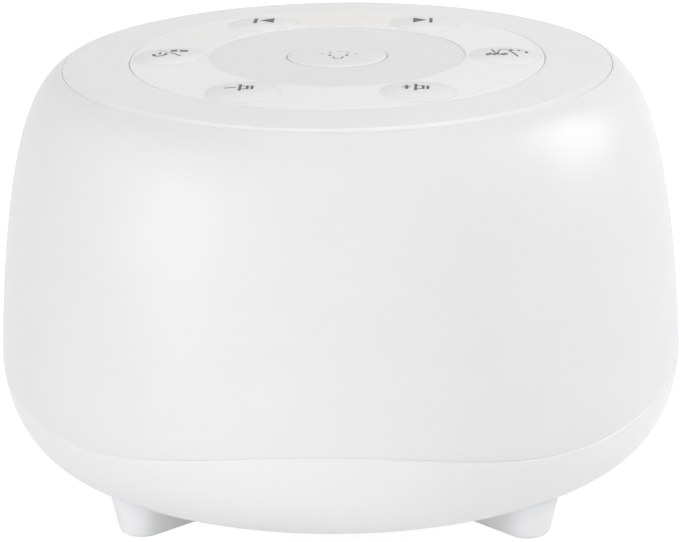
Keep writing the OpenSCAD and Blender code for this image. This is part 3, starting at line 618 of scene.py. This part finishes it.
def make_foot(name, angle, material):
    arc = [(FOOT_ROUND * (1 - math.sin(a)), FOOT_ROUND * (1 - math.cos(a)), 0.0)
           for a in quarter_turn(7)]
    levels = arc + [(0.0, FOOT_ROUND, share) for share in steps(0.12, 1.0, 6)]

    def outline(level):
        """Rounded at the bottom, then wider with height, up to the bowl."""
        inset, z, share = level
        points = []
        rise = FOOT_ROUND + (GROUND_GAP - FOOT_ROUND) * share
        half = FOOT_HALF_W + FOOT_FLARE * (rise if share else z) - inset
        for x, y in foot_outline(half, inset):
            top = lower_z(math.hypot(x, y)) + SINK
            high = z + (top - z) * share
            wider = FOOT_FLARE * max(0.0, high - rise) if share else 0.0
            points.append((x + wider * max(0.0, x - FOOT_END_R) / half,
                           y + wider * y / half, high))
        return points

    foot = turn_about_axis(prism(name + "_pad", outline, levels, FOOT_SHARP), angle)
    peg = tube(name + "_peg", PEG_R, 0.0, PEG_BOTTOM, FLOOR_TOP - 0.2, polar(PEG_RING_R, angle),
               PEG_TURN)
    for piece in (foot, peg):
        dress(piece, material, "body", name)


# ------------------------ top
SKIRT_R = LEDGE_R - 0.2
SKIRT_T = 1.4
SKIRT_BOTTOM = 57.0
REBATE_R = 33.6
REBATE_Z = 63.8
EDGE_R = 40.3
EDGE_SLOPE = 0.22
EDGE_SLOPE_W = 0.85
EDGE_BLEND = 0.15
LUG_RING_R = 35.9
LUG_R = 2.2
KEY_BOARD_TOP = 54.5
# Rounding of the cover's and the ring's facing edges, and the flat left beside it
TOP_ROUND = 0.25
TOP_KEEP = 0.8
SKIRT_ROUND = 0.2
COVER_ROUND = 0.08
LATCHES = 6
LATCH_HALF_W = 4.0
LATCH_TOP = LEDGE_BOTTOM - 0.15
# Corners of a latch, as the distance out from the skirt and the height above its top
LATCH_CORNERS = ((-0.6, -1.8), (0.8, -0.5), (0.8, 0.0), (-0.6, 0.0))
KEY_HOLE_FLARE = 0.02
KEY_HOLE_DEPTH = 6.0
RING_HUB_R = 18.0
RING_HUB_TOP = RING_BOTTOM + 1.6
RING_FLANGE_R = 33.4
RING_FLANGE_TOP = RING_BOTTOM + 1.3
RING_ROUND = 0.06
PLATE_BOTTOM = 64.1
PLATE_RIB_IN_R = 16.7
PLATE_RIB_R = 17.7
PLATE_RIB_BOTTOM = RING_BOTTOM + 0.2
PLATE_KEEP = 0.6


def cover_z(r):
    """The deck, with a narrow slope just inside its outer seam."""
    out = max(0.0, min(EDGE_SLOPE_W, r - EDGE_R))
    into = min(out, EDGE_BLEND)
    return deck_z(r) - EDGE_SLOPE * (into * into / (2 * EDGE_BLEND) + out - into)


def make_cover(material):
    deck = [(COVER_IN_R, deck_z(COVER_IN_R), TOP_ROUND)]
    deck += [(r, deck_z(r), 0) for r in steps(COVER_IN_R + TOP_KEEP, EDGE_R, 12)]
    deck += [(r, cover_z(r), 0) for r in steps(EDGE_R, EDGE_R + EDGE_BLEND, 4)[1:]]
    deck += [(r, cover_z(r), 0) for r in (EDGE_R + EDGE_SLOPE_W, COVER_R - 0.2)]
    deck += [(COVER_R, cover_z(COVER_R), COVER_ROUND), (COVER_R, COVER_BOTTOM, 0),
             (SKIRT_R, COVER_BOTTOM, 0), (SKIRT_R, SKIRT_BOTTOM, SKIRT_ROUND),
             (SKIRT_R - SKIRT_T, SKIRT_BOTTOM, SKIRT_ROUND),
             (SKIRT_R - SKIRT_T, COVER_BOTTOM, 0), (REBATE_R, COVER_BOTTOM, 0),
             (REBATE_R, REBATE_Z, 0), (COVER_IN_R, REBATE_Z, 0)]
    parts = [tube("lug", LUG_R, SCREW_HOLE_R, KEY_BOARD_TOP, COVER_BOTTOM + DEEP_SINK,
                  polar(LUG_RING_R, a)) for a in DIAGONALS]
    for i in range(LATCHES):
        latch = prism("latch", latch_outline, (-LATCH_HALF_W, LATCH_HALF_W))
        parts.append(turn_about_axis(latch, i * 360 / LATCHES))
    for piece in (lathe("cover_deck", rounded(deck)), join("cover_lugs", parts)):
        dress(piece, material, "body", "top_cover")


def latch_outline(y):
    """Cross-section of a latch under the housing's ledge, at a place along its width."""
    return [(math.sqrt((SKIRT_R + r) ** 2 - y * y), y, LATCH_TOP + z) for r, z in LATCH_CORNERS]


def key_hole_cutter(centre):
    """A bore down from the deck; its mouth flares so that the edge is rounded."""
    radius = KEY_R + KEY_CLEAR
    arc = [(radius + KEY_HOLE_FLARE * (1 - math.cos(a)), -KEY_HOLE_FLARE * (1 - math.sin(a)))
           for a in np.linspace(0, math.radians(72), 6)]
    last = arc[-1]
    section = [(0.0, -KEY_HOLE_DEPTH), (radius, -KEY_HOLE_DEPTH)] + arc
    section += [(last[0] + 0.6, last[1] + 0.25), (0.0, 0.6)]
    return warped_lathe("key_hole_cutter", section, centre, KEY_TURN)


def key_centre(index):
    return polar(KEY_RING_R, 180 + 60 * index)


def make_ring(material):
    points = [(RING_HUB_R, RING_BOTTOM, 0), (RING_FLANGE_R, RING_BOTTOM, 0.2),
              (RING_FLANGE_R, RING_FLANGE_TOP, 0.2), (RING_OUT_R, RING_FLANGE_TOP, 0),
              (RING_OUT_R, deck_z(RING_OUT_R), TOP_ROUND)]
    points += [(r, deck_z(r), 0) for r in steps(RING_OUT_R - TOP_KEEP, RING_IN_R + TOP_KEEP, 14)]
    points += [(RING_IN_R, deck_z(RING_IN_R), RING_ROUND), (RING_IN_R, RING_HUB_TOP, 0),
               (RING_HUB_R, RING_HUB_TOP, 0)]
    ring = lathe("ring_diffuser", rounded(points))
    cut(ring, [key_hole_cutter(key_centre(i)) for i in range(len(KEY_NAMES))], 25)
    dress(ring, material, "body", "light_ring")


def make_plate(material):
    bore = BUTTON_R + BUTTON_CLEAR
    points = [(bore, PLATE_BOTTOM, 0), (PLATE_RIB_IN_R, PLATE_BOTTOM, 0),
              (PLATE_RIB_IN_R, PLATE_RIB_BOTTOM, 0.1), (PLATE_RIB_R, PLATE_RIB_BOTTOM, 0.1),
              (PLATE_RIB_R, PLATE_BOTTOM, 0), (PLATE_R, PLATE_BOTTOM, 0),
              (PLATE_R, PLATE_TOP, 0.05)]
    points += [(r, PLATE_TOP, 0) for r in steps(PLATE_R - PLATE_KEEP, bore + PLATE_KEEP, 10)]
    points += [(bore, PLATE_TOP, 0.12)]
    dress(lathe("plate_disc", rounded(points)), material, "body", "centre_plate")


def plate_level(r):
    return PLATE_TOP


# Form of a cap's top: its radius, its edge's and its crown's rise, and the surface round it
KEY_FORM = (KEY_R, 0.0, KEY_CROWN, deck_z)
BUTTON_FORM = (BUTTON_R, BUTTON_PROUD, BUTTON_CROWN, plate_level)
CAP_WALL = 1.0
CAP_ROUND = 0.03
# Heights below this are measured from the surface round the cap, and the others from the ground
LEVEL_LIMIT = 10


def crown_z(r, form):
    """Height of a cap's crowned top above the surface round it."""
    radius, rise, crown, _ = form
    return rise + crown * (1 - min(1.0, r / radius) ** CROWN_POWER)


def make_cap(key, node, centre, form, chamfer, flange_top, material):
    """A key or the light button: crowned top, flange and stem down to its switch."""
    radius, rise, _, level = form
    width, drop = chamfer
    low = flange_top - FLANGE_T
    section = [(r, crown_z(r, form), 0) for r in steps(0.0, radius - width - 0.25, 20)]
    if width:
        section += [(radius - width, crown_z(radius - width, form) - 0.01, 0)]
    section += [(radius, rise - drop, CAP_ROUND), (radius, rise - CAP_WALL, 0)]
    top = rounded(section)
    under = [(radius, flange_top), (radius + FLANGE_W, flange_top), (radius + FLANGE_W, low),
             (STEM_R, low), (STEM_R, PLUNGER_TOP), (0.0, PLUNGER_TOP)]
    verts, faces = turned(lambda angle: top + under, KEY_TURN, centre)
    faces = outward(verts, faces)
    verts = [(x, y, z + level(math.hypot(x, y)) if z < LEVEL_LIMIT else z) for x, y, z in verts]
    dress(mesh_object("cap_" + key, verts, faces, 30), material, key + "_key", node)


def make_keys(key_material, plate_material):
    for i, key in enumerate(KEY_NAMES):
        make_cap(key, "key_" + key, key_centre(i), KEY_FORM, NO_CHAMFER,
                 KEY_FLANGE_TOP, key_material)
    make_cap("light", "light_button", (0.0, 0.0), BUTTON_FORM, BUTTON_CHAMFER,
             BUTTON_FLANGE_TOP, plate_material)


# ------------------------ printed symbols
INK_LIFT = 0.015


def ribbon(points, width):
    """Outline quads of a line of even width through the points."""
    quads = []
    for (x0, y0), (x1, y1) in zip(points, points[1:]):
        length = math.hypot(x1 - x0, y1 - y0)
        nx, ny = -(y1 - y0) / length * width / 2, (x1 - x0) / length * width / 2
        quads.append([(x0 + nx, y0 + ny), (x0 - nx, y0 - ny), (x1 - nx, y1 - ny),
                      (x1 + nx, y1 + ny)])
    return quads


def bow(cx, cy, rx, ry, start, end, width, count=16):
    """A curved line: part of an ellipse."""
    points = [(cx + rx * math.cos(math.radians(a)), cy + ry * math.sin(math.radians(a)))
              for a in steps(start, end, count)]
    return ribbon(points, width)


def box2(x0, y0, x1, y1):
    return [[(x0, y0), (x1, y0), (x1, y1), (x0, y1)]]


def speaker_shape(x):
    """A small loudspeaker that opens to the right, its left end at x."""
    body = box2(x + 0.03, -1.45, x + 0.47, 1.95)
    body += box2(x + 0.45, 0.75, x + 1.2, 1.05) + box2(x + 0.45, -0.75, x + 1.2, -0.45)
    return body + box2(x + 1.12, -0.75, x + 1.55, 1.15) + box2(x + 1.8, -0.7, x + 2.24, 1.1)


def symbol(key):
    """Polygons of a key's symbol, in millimetres about the key's middle."""
    if key == "previous":
        return box2(-1.4, -2.2, -0.8, 1.45) + [[(-0.45, -0.4), (1.85, -2.2), (1.85, 1.45)]]
    if key == "next":
        return box2(0.9, -2.2, 1.4, 1.45) + [[(0.6, -0.4), (-1.65, 1.45), (-1.65, -2.2)]]
    if key == "volume_down":
        return box2(-2.7, 0.12, -0.95, 0.46) + speaker_shape(-0.66)
    if key == "volume_up":
        plus = box2(-2.35, 0.12, -1.1, 0.46) + box2(-1.9, -0.75, -1.44, 1.3)
        return plus + speaker_shape(-0.62)
    if key == "timer":
        clock = bow(-1.4, -0.75, 1.0, 1.05, 175, 365, 0.42)
        clock += box2(-2.55, -1.35, -2.05, -0.4) + box2(-0.7, -1.1, -0.25, -0.2)
        hand = box2(-1.6, -0.75, -1.2, 0.45)
        dashes = box2(0.1, 0.5, 1.1, 1.95) + box2(1.5, 0.3, 2.75, 1.75)
        slash = ribbon([(-1.9, 2.2), (0.2, -0.1)], 0.14) + ribbon([(0.2, -0.1), (1.9, -2.1)], 0.3)
        return clock + hand + dashes + slash
    if key == "sound":
        waves = box2(-2.95, -1.85, 0.4, -1.35)
        for x in (-2.95, -1.85, -0.6):
            waves += box2(x, -2.1, x + 0.5, -1.05) + box2(x + 0.4, -1.8, x + 0.9, -0.75)
        stroke = ribbon([(-2.1, 1.5), (-1.55, -0.8)], 0.32)
        hill = ribbon([(-1.18, -1.1), (-0.95, 0.7), (-0.5, 1.7), (0.0, 1.75), (0.6, 0.9)], 0.26)
        slash = ribbon([(0.6, 0.9), (1.9, -2.3)], 0.36)
        cloud = box2(0.65, 0.9, 1.1, 1.9) + box2(1.85, 1.0, 2.25, 1.9) + box2(3.0, 0.0, 3.45, 1.3)
        return waves + stroke + hill + slash + cloud + bow(2.1, 0.4, 1.2, 1.1, 20, 160, 0.14)
    top = bow(0.26, 0.1, 1.5, 1.6, 10, 45, 0.2) + bow(0.26, 0.1, 1.5, 1.6, 75, 105, 0.16)
    top += bow(0.26, 0.1, 1.5, 1.6, 135, 170, 0.2)
    sides = box2(-1.25, -1.35, -0.82, -0.35) + box2(1.32, -1.35, 1.75, -0.35)
    neck = ribbon([(-0.5, -1.8), (-0.3, -2.9)], 0.34) + ribbon([(1.02, -1.8), (0.82, -2.9)], 0.34)
    rays = box2(-2.5, 0.15, -1.95, 0.4) + box2(2.6, 0.1, 3.15, 0.35)
    return top + sides + neck + rays + box2(-0.3, -3.0, 0.82, -2.85)


def make_symbol(key, centre, form, material):
    """A thin printed film that follows its cap."""
    level = form[-1]
    verts, faces = [], []
    for polygon in symbol(key):
        faces.append(list(range(len(verts), len(verts) + len(polygon))))
        verts += [(x, y, 0.0) for x, y in polygon]
    film = mesh_object("symbol_" + key, verts, faces)
    bm = bmesh.new()
    bm.from_mesh(film.data)
    for face in bm.faces:
        face.normal_update()
        if face.normal.z < 0:
            face.normal_flip()
    bmesh.ops.subdivide_edges(bm, edges=list(bm.edges), cuts=5, use_grid_fill=True)
    bmesh.ops.triangulate(bm, faces=list(bm.faces))
    for vert in bm.verts:
        x, y = vert.co.x / MM, vert.co.y / MM
        place = (centre[0] + x, centre[1] + y)
        top = level(math.hypot(*place)) + crown_z(math.hypot(x, y), form)
        vert.co = Vector((place[0], place[1], top + INK_LIFT)) * MM
    bm.to_mesh(film.data)
    bm.free()
    dress(film, material, key + "_key")


def make_symbols(materials):
    for i, key in enumerate(KEY_NAMES):
        ink = materials["ink_fine" if key in ("timer", "sound") else "ink"]
        make_symbol(key, key_centre(i), KEY_FORM, ink)
    make_symbol("light", (0.0, 0.0), BUTTON_FORM, materials["ink_faint"])


# ------------------------ socket contacts
CONTACTS = 12
CONTACT_PITCH = 0.5
CONTACT_W = 0.26
CONTACT_T = 0.03
CONTACT_EDGE = 0.01
# Bare ends of the tongue before and behind the strips
CONTACT_START = 0.8
CONTACT_END = 0.35


def make_contacts(material):
    """Plated strips on the upper and lower face of the socket's tongue."""
    low, high = ([c / MM for c in corner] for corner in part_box("socket_tongue"))
    parts = []
    for i in range(CONTACTS):
        x = (low[0] + high[0]) / 2 + (i - (CONTACTS - 1) / 2) * CONTACT_PITCH
        for z in (low[2] - CONTACT_T, high[2]):
            parts.append(bevelled_box(
                "contact", (x - CONTACT_W / 2, low[1] + CONTACT_START, z),
                (x + CONTACT_W / 2, high[1] - CONTACT_END, z + CONTACT_T), CONTACT_EDGE))
    dress(join("socket_contacts", parts), material, "body")


# ------------------------ speaker
# Piece, node, material, slot, and the heights between which it turns from the frame to the cone
SOFT_LINKS = (
    ("cone_surround", "speaker_surround", "rubber", "surround_rubber", 9.8, 11.4),
    ("cone_spider", "speaker_spider", "spider", "spider_cloth", 17.4, 19.0),
)


def make_soft_links(materials):
    """Copies of the surround and the spider, which join the frame at one lip and the cone at the
    other.
    """
    for name, node, key, slot, start, end in SOFT_LINKS:
        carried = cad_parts[node]
        piece = placed(name, carried.data.copy())
        piece.matrix_world = carried.matrix_world
        piece.data.materials.clear()
        piece.data.materials.append(materials[key])
        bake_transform(piece)
        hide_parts(node)


# ------------------------ materials
# Scales of the mottling and of the uneven gloss of moulded pieces, in turns per metre
MOTTLE_SCALE = 60
GLOSS_SCALE = 180
# Threads and gaps in a metre for each unit of a Wave texture's Scale
WAVE_UNIT = 6.3
# Painted warm glow of the ring's lamps at its back: its middle and its reach in metres
GLOW_PATCH_PLACE = (-0.0008, 0.0257, 0.066)
GLOW_PATCH_REACH = (0.010, 0.008, 0.010)
GLOW_PATCH_COLOR = (0.865, 0.848, 0.825)


def new_material(name):
    material = bpy.data.materials.new(name)
    material.use_nodes = True
    tree = material.node_tree
    return material, tree, tree.nodes["Principled BSDF"]


def set_inputs(node, inputs):
    """Gives each input its number, vector or colour, or the socket that feeds it."""
    for key, value in inputs.items():
        if isinstance(value, bpy.types.NodeSocket):
            node.id_data.links.new(value, node.inputs[key])
        else:
            node.inputs[key].default_value = value


def add_node(tree, kind, inputs, **settings):
    node = tree.nodes.new("ShaderNode" + kind)
    for key, value in settings.items():
        setattr(node, key, value)
    set_inputs(node, inputs)
    return node


def math_node(tree, operation, first, second):
    return add_node(tree, "Math", {0: first, 1: second}, operation=operation).outputs[0]


def object_space(tree):
    return tree.nodes.new("ShaderNodeTexCoord").outputs["Object"]


def opaque(color):
    return (*color, 1.0)


def noise(tree, scale, detail, stretch=None):
    """A noise texture in object space; scale is in turns per metre."""
    place = object_space(tree)
    if stretch:
        place = add_node(tree, "Mapping", {"Vector": place, "Scale": stretch}).outputs["Vector"]
    texture = add_node(tree, "TexNoise", {"Vector": place, "Scale": scale, "Detail": detail})
    return texture.outputs["Fac"]


def spread(tree, value, low, high, start=0.3, end=0.7):
    """The value, mapped from start..end to low..high."""
    node = add_node(tree, "MapRange", {"Value": value, "From Min": start, "From Max": end,
                                       "To Min": low, "To Max": high})
    return node.outputs["Result"]


def tint(tree, factor, first, second):
    """A colour between two, by the factor."""
    node = add_node(tree, "Mix", {"Factor": factor, "A": opaque(first), "B": opaque(second)},
                    data_type="RGBA")
    return node.outputs["Result"]


def bump(tree, height, strength, distance):
    """The surface's normal, tilted by the height."""
    node = add_node(tree, "Bump", {"Height": height, "Strength": strength,
                                   "Distance": distance})
    return node.outputs["Normal"]


def moulded(name, color, roughness, grain=2500, depth=0.00002, vary=0.012, subsurface=0.0):
    """Moulded plastic: faint mottling, fine satin grain and slightly uneven gloss."""
    material, tree, shader = new_material(name)
    lighter = [min(1.0, c * (1 + vary)) for c in color]
    darker = [c * (1 - vary) for c in color]
    mottle = spread(tree, noise(tree, MOTTLE_SCALE, 3), 0, 1)
    uneven = noise(tree, GLOSS_SCALE, 3)
    set_inputs(shader, {
        "Base Color": tint(tree, mottle, darker, lighter),
        "Roughness": spread(tree, uneven, roughness * 0.92, roughness * 1.08),
        "Normal": bump(tree, noise(tree, grain, 2), 0.25, depth)})
    if subsurface:
        set_inputs(shader, {"Subsurface Weight": subsurface, "Subsurface Scale": 0.002,
                            "Subsurface Radius": (1.0, 0.8, 0.65)})
    return material


def metal(name, color, roughness, grain=(1, 1, 30)):
    """Plated metal with fine drawn lines."""
    material, tree, shader = new_material(name)
    lines = noise(tree, 900, 3, grain)
    darker = [c * 0.88 for c in color]
    set_inputs(shader, {
        "Metallic": 1.0,
        "Base Color": tint(tree, spread(tree, lines, 0, 1), darker, color),
        "Roughness": spread(tree, lines, roughness * 0.8, roughness * 1.25),
        "Normal": bump(tree, lines, 0.15, 0.00002)})
    return material


def woven(name, color, roughness, pitch=2200, depth=0.00008):
    """Cloth or pressed fibre: crossed waves, pitch threads and gaps a metre, and a fuzzy sheen."""
    material, tree, shader = new_material(name)
    wave = {"Vector": object_space(tree), "Scale": pitch / WAVE_UNIT, "Distortion": 0.6}
    threads = [add_node(tree, "TexWave", wave, bands_direction=axis).outputs["Fac"]
               for axis in ("X", "Y")]
    both = math_node(tree, "MULTIPLY", *threads)
    set_inputs(shader, {
        "Base Color": tint(tree, both, [c * 0.55 for c in color], color),
        "Roughness": roughness,
        "Sheen Weight": 0.2,
        "Normal": bump(tree, both, 0.6, depth)})
    return material


def board(name, color):
    """Solder mask over copper tracks: slightly lighter lines in two directions."""
    material, tree, shader = new_material(name)
    tracks = add_node(tree, "TexBrick", {
        "Vector": object_space(tree), "Scale": 160, "Mortar Size": 0.06,
        "Color1": opaque(color), "Color2": opaque([c * 0.86 for c in color]),
        "Mortar": opaque([min(1.0, c * 1.6) for c in color])}, offset=0.37)
    set_inputs(shader, {
        "Base Color": tracks.outputs["Color"],
        "Roughness": 0.32,
        "Normal": bump(tree, tracks.outputs["Fac"], 0.3, 0.00003)})
    return material


def ring_material():
    """The light ring's diffuser: milky, with a painted warm glow of its lamps at the back."""
    material = moulded("milky_diffuser", (0.872, 0.869, 0.867), 0.42, subsurface=0.15)
    tree = material.node_tree
    shader = tree.nodes["Principled BSDF"]
    # Painted glow: a warm patch at the back stands in for the light of the lamps under the ring.
    place = add_node(tree, "Mapping", {"Vector": object_space(tree), "Location": GLOW_PATCH_PLACE,
                                       "Scale": GLOW_PATCH_REACH}, vector_type="TEXTURE")
    away = add_node(tree, "VectorMath", {0: place.outputs["Vector"]}, operation="LENGTH")
    near = spread(tree, away.outputs["Value"], 1.0, 0.0, 0.5, 1.1)
    plain = shader.inputs["Base Color"].links[0].from_socket
    glow_patch = add_node(tree, "Mix", {"Factor": near, "A": plain, "B": opaque(GLOW_PATCH_COLOR)},
                     data_type="RGBA")
    set_inputs(shader, {"Base Color": glow_patch.outputs["Result"]})
    return material


def ink_material(name, level):
    """Printed ink, slightly uneven; level is its darkest grey."""
    material, tree, shader = new_material(name)
    worn = spread(tree, noise(tree, 1500, 3), 0, 1)
    set_inputs(shader, {
        "Base Color": tint(tree, worn, (level,) * 3, (level * 1.5 + 0.02,) * 3),
        "Roughness": 0.5})
    return material


def make_materials():
    return {
        "shell": moulded("shell_plastic", (0.806, 0.806, 0.811), 0.36),
        "base": moulded("base_plastic", (0.84, 0.84, 0.845), 0.36),
        "cover": moulded("cover_plastic", (0.815, 0.815, 0.82), 0.32),
        "ring": ring_material(),
        "key": moulded("key_plastic", (0.785, 0.785, 0.785), 0.42),
        "plate": moulded("plate_plastic", (0.79, 0.79, 0.793), 0.45),
        "foot": moulded("silicone", (0.86, 0.86, 0.865), 0.48, 1500, 0.00002, 0.01, 0.2),
        "inner_white": moulded("inner_plastic", (0.78, 0.78, 0.77), 0.45),
        "black": moulded("black_plastic", (0.025, 0.025, 0.026), 0.45, 2500, 0.00003, 0.1),
        "board": board("solder_mask", (0.02, 0.14, 0.06)),
        "chip": moulded("chip_resin", (0.02, 0.02, 0.021), 0.5, 4000, 0.00003, 0.15),
        "capacitor": moulded("capacitor_sleeve", (0.03, 0.04, 0.10), 0.25, 1200, 0.00001, 0.1),
        "connector": moulded("connector_nylon", (0.72, 0.68, 0.56), 0.45, 2500, 0.00002, 0.03),
        "lamp": moulded("lamp_gel", (0.85, 0.78, 0.42), 0.2, 2500, 0.00001, 0.04),
        "steel": metal("zinc_plate", (0.62, 0.63, 0.65), 0.3),
        "yoke": metal("yoke_plate", (0.52, 0.53, 0.55), 0.36),
        "ferrite": moulded("ferrite", (0.05, 0.05, 0.055), 0.6, 1800, 0.00006, 0.2),
        "foam": moulded("foam_rubber", (0.02, 0.02, 0.02), 0.9, 1400, 0.0002, 0.3),
        "rubber": moulded("surround_rubber", (0.02, 0.02, 0.02), 0.5, 2000, 0.00003, 0.1),
        "paper": woven("cone_paper", (0.06, 0.06, 0.065), 0.85, 1500, 0.00006),
        "spider": woven("spider_cloth", (0.55, 0.38, 0.14), 0.8, 1800),
        "grille": woven("grille_cloth", (0.03, 0.03, 0.032), 0.9, 2600),
        "copper": metal("coil_copper", (0.72, 0.36, 0.14), 0.3, (1, 1, 60)),
        "gold": metal("contact_plate", (0.83, 0.62, 0.26), 0.22),
        "wire": moulded("wire_sleeve", (0.45, 0.02, 0.02), 0.4, 1500, 0.00001, 0.06),
        "cable": moulded("flat_cable", (0.74, 0.74, 0.76), 0.35, 2500, 0.00001, 0.02),
        "ink": ink_material("symbol_ink", 0.02),
        "ink_fine": ink_material("symbol_ink_fine", 0.07),
        "ink_faint": ink_material("symbol_ink_faint", 0.16),
    }


CARRIED = {
    "inner_white": ("light_baffle",),
    "black": (*("plunger_" + key for key in ("light", *KEY_NAMES)), "key_switches",
              "speaker_frame", "socket_tongue"),
    "board": ("key_board", "main_board", "socket_board"),
    "chip": ("board_chips",),
    "capacitor": ("board_capacitors",),
    "connector": ("board_connectors",),
    "lamp": ("light_leds",),
    "steel": ("base_screws", "key_board_screws", "speaker_screws", "main_board_screws",
              "socket_screws", "power_socket"),
    "yoke": ("speaker_front_plate", "speaker_back_plate"),
    "ferrite": ("speaker_magnet",),
    "foam": ("speaker_gasket",),
    "paper": ("speaker_cone", "speaker_dust_cap"),
    "grille": ("grille_cloth",),
    "copper": ("voice_coil",),
    "wire": ("speaker_leads", "power_leads"),
    "cable": ("ribbon_cable",),
}


def dress_carried(materials):
    """Gives each CAD node that stays its procedural material."""
    for key, nodes in CARRIED.items():
        for node in nodes:
            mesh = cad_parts[node].data
            for i in range(len(mesh.materials)):
                mesh.materials[i] = materials[key]
            if not mesh.materials:
                mesh.materials.append(materials[key])


# ------------------------ stage
FLOOR_HALF = 4.0
FLOOR_COLOR = 0.9
FLOOR_SHOWN = 0.3
FLOOR_GLOW = 0.9
# The world's light from each side: the axis, which end of it, and the light's strength there
WORLD_SIDES = (("Y", -1.0, 1.45), ("X", -1.0, 0.29), ("X", 1.0, 0.13))


def seen_directly(tree):
    """1 for camera, glossy and transmission rays."""
    path = tree.nodes.new("ShaderNodeLightPath")
    total = path.outputs["Is Camera Ray"]
    for other in ("Is Glossy Ray", "Is Transmission Ray"):
        total = math_node(tree, "MAXIMUM", total, path.outputs[other])
    return total


def bare_tree(owner, kind):
    """The emptied node tree of a material or world, and its new output's Surface."""
    owner.use_nodes = True
    tree = owner.node_tree
    tree.nodes.clear()
    return tree, tree.nodes.new("ShaderNodeOutput" + kind).inputs["Surface"]


def make_floor():
    """A wide pale floor that shows white and keeps a faint shadow."""
    half = FLOOR_HALF / MM
    floor = mesh_object("floor", [(-half, -half, 0), (half, -half, 0), (half, half, 0),
                                  (-half, half, 0)], [[0, 1, 2, 3]])
    material = bpy.data.materials.new("pale_floor")
    tree, surface = bare_tree(material, "Material")
    seen = seen_directly(tree)
    shown = tint(tree, seen, (FLOOR_COLOR,) * 3, (FLOOR_SHOWN,) * 3)
    diffuse = add_node(tree, "BsdfDiffuse", {"Color": shown})
    glow = add_node(tree, "Emission", {"Color": opaque((FLOOR_GLOW,) * 3), "Strength": seen})
    both = add_node(tree, "AddShader", {0: diffuse.outputs[0], 1: glow.outputs[0]})
    tree.links.new(both.outputs[0], surface)
    floor.data.materials.append(material)


def world_strength(tree):
    """Soft light that grows towards the horizon, with a level of its own on each side."""
    coords = tree.nodes.new("ShaderNodeTexCoord")
    parts = add_node(tree, "SeparateXYZ", {0: coords.outputs["Generated"]})
    total = 0.0
    for axis, sign, level in WORLD_SIDES:
        side = math_node(tree, "MULTIPLY", parts.outputs[axis], sign * level)
        total = math_node(tree, "ADD", math_node(tree, "MAXIMUM", side, 0.0), total)
    return total


def make_world():
    """Soft light for the object, and plain white where the world is seen directly."""
    world = bpy.data.worlds.new("studio")
    bpy.context.scene.world = world
    tree, surface = bare_tree(world, "World")
    light, plain = [
        add_node(tree, "Background", {"Color": (1, 1, 1, 1), "Strength": strength}).outputs[0]
        for strength in (world_strength(tree), 1.0)]
    mix = add_node(tree, "MixShader", {"Fac": seen_directly(tree), 1: light, 2: plain})
    tree.links.new(mix.outputs[0], surface)


# Name, place in metres, width, height and watts of each soft rectangular lamp
LAMPS = (
    ("right_rim", (1.116, 0.278, 0.596), 0.7, 0.7, 6.7),
    ("left_side", (-1.05, -0.75, 0.25), 0.7, 0.7, 3.6),
    ("left_low", (-0.62, -1.10, 0.10), 0.7, 0.7, 0.6),
    ("overhead", (0.0, 0.0, 1.2), 0.8, 0.8, 1.86),
    ("back_strip", (-0.06, 0.85, 0.883), 1.0, 0.22, 2.1),
    ("back_right", (0.24, 0.92, 0.76), 0.6, 0.6, 0.55),
)
LAMP_AIM = (0, 0, 0.035)


def stood(name, data, place, turn):
    """A lamp or the camera at a place, turned by a quaternion."""
    obj = placed(name, data)
    obj.location = place
    obj.rotation_mode = "QUATERNION"
    obj.rotation_quaternion = turn
    return obj


def look(place, aim):
    return (Vector(aim) - Vector(place)).to_track_quat("-Z", "Y")


def make_lamps():
    for name, place, width, height, watts in LAMPS:
        lamp = bpy.data.lights.new(name, "AREA")
        lamp.shape = "RECTANGLE"
        lamp.size, lamp.size_y = width, height
        lamp.energy = watts
        stood(name, lamp, place, look(place, LAMP_AIM))


# ------------------------ camera
# Place about the aim, in metres and degrees, lens in millimetres, and how far the aim is raised
CAMERA_DISTANCE = 0.490
CAMERA_RISE = 17.56
CAMERA_SIDE = 2.7
CAMERA_ROLL = -0.79
CAMERA_LENS = 167.23
CAMERA_AIM = (0.0, 0.0, 0.030)
AIM_UP = 0.00164


def make_camera():
    """A long lens, a little above the object and to its right."""
    rise, side = math.radians(CAMERA_RISE), math.radians(CAMERA_SIDE)
    away = Vector((math.cos(rise) * math.sin(side), -math.cos(rise) * math.cos(side),
                   math.sin(rise)))
    place = Vector(CAMERA_AIM) + CAMERA_DISTANCE * away
    right = Vector((math.cos(side), math.sin(side), 0))
    up = away.cross(right)
    aim = Vector(CAMERA_AIM) + AIM_UP * up
    roll = Matrix.Rotation(math.radians(CAMERA_ROLL), 3, "Z").to_quaternion()
    data = bpy.data.cameras.new("camera")
    data.lens = CAMERA_LENS
    data.sensor_width = 36
    data.clip_start, data.clip_end = 0.01, 100
    bpy.context.scene.camera = stood("camera", data, place, look(place, aim) @ roll)


def main():
    materials = make_materials()
    make_housing(materials["shell"])
    make_housing_inside(materials["shell"])
    make_base(materials["base"])
    make_base_inside(materials["base"])
    for name, angle in FEET:
        make_foot(name, angle, materials["foot"])
    make_cover(materials["cover"])
    make_ring(materials["ring"])
    make_plate(materials["plate"])
    make_keys(materials["key"], materials["plate"])
    make_symbols(materials)
    make_contacts(materials["gold"])
    make_soft_links(materials)
    dress_carried(materials)
    make_floor()
    make_world()
    make_lamps()
    make_camera()
    bpy.context.scene.view_settings.view_transform = "Standard"


main()
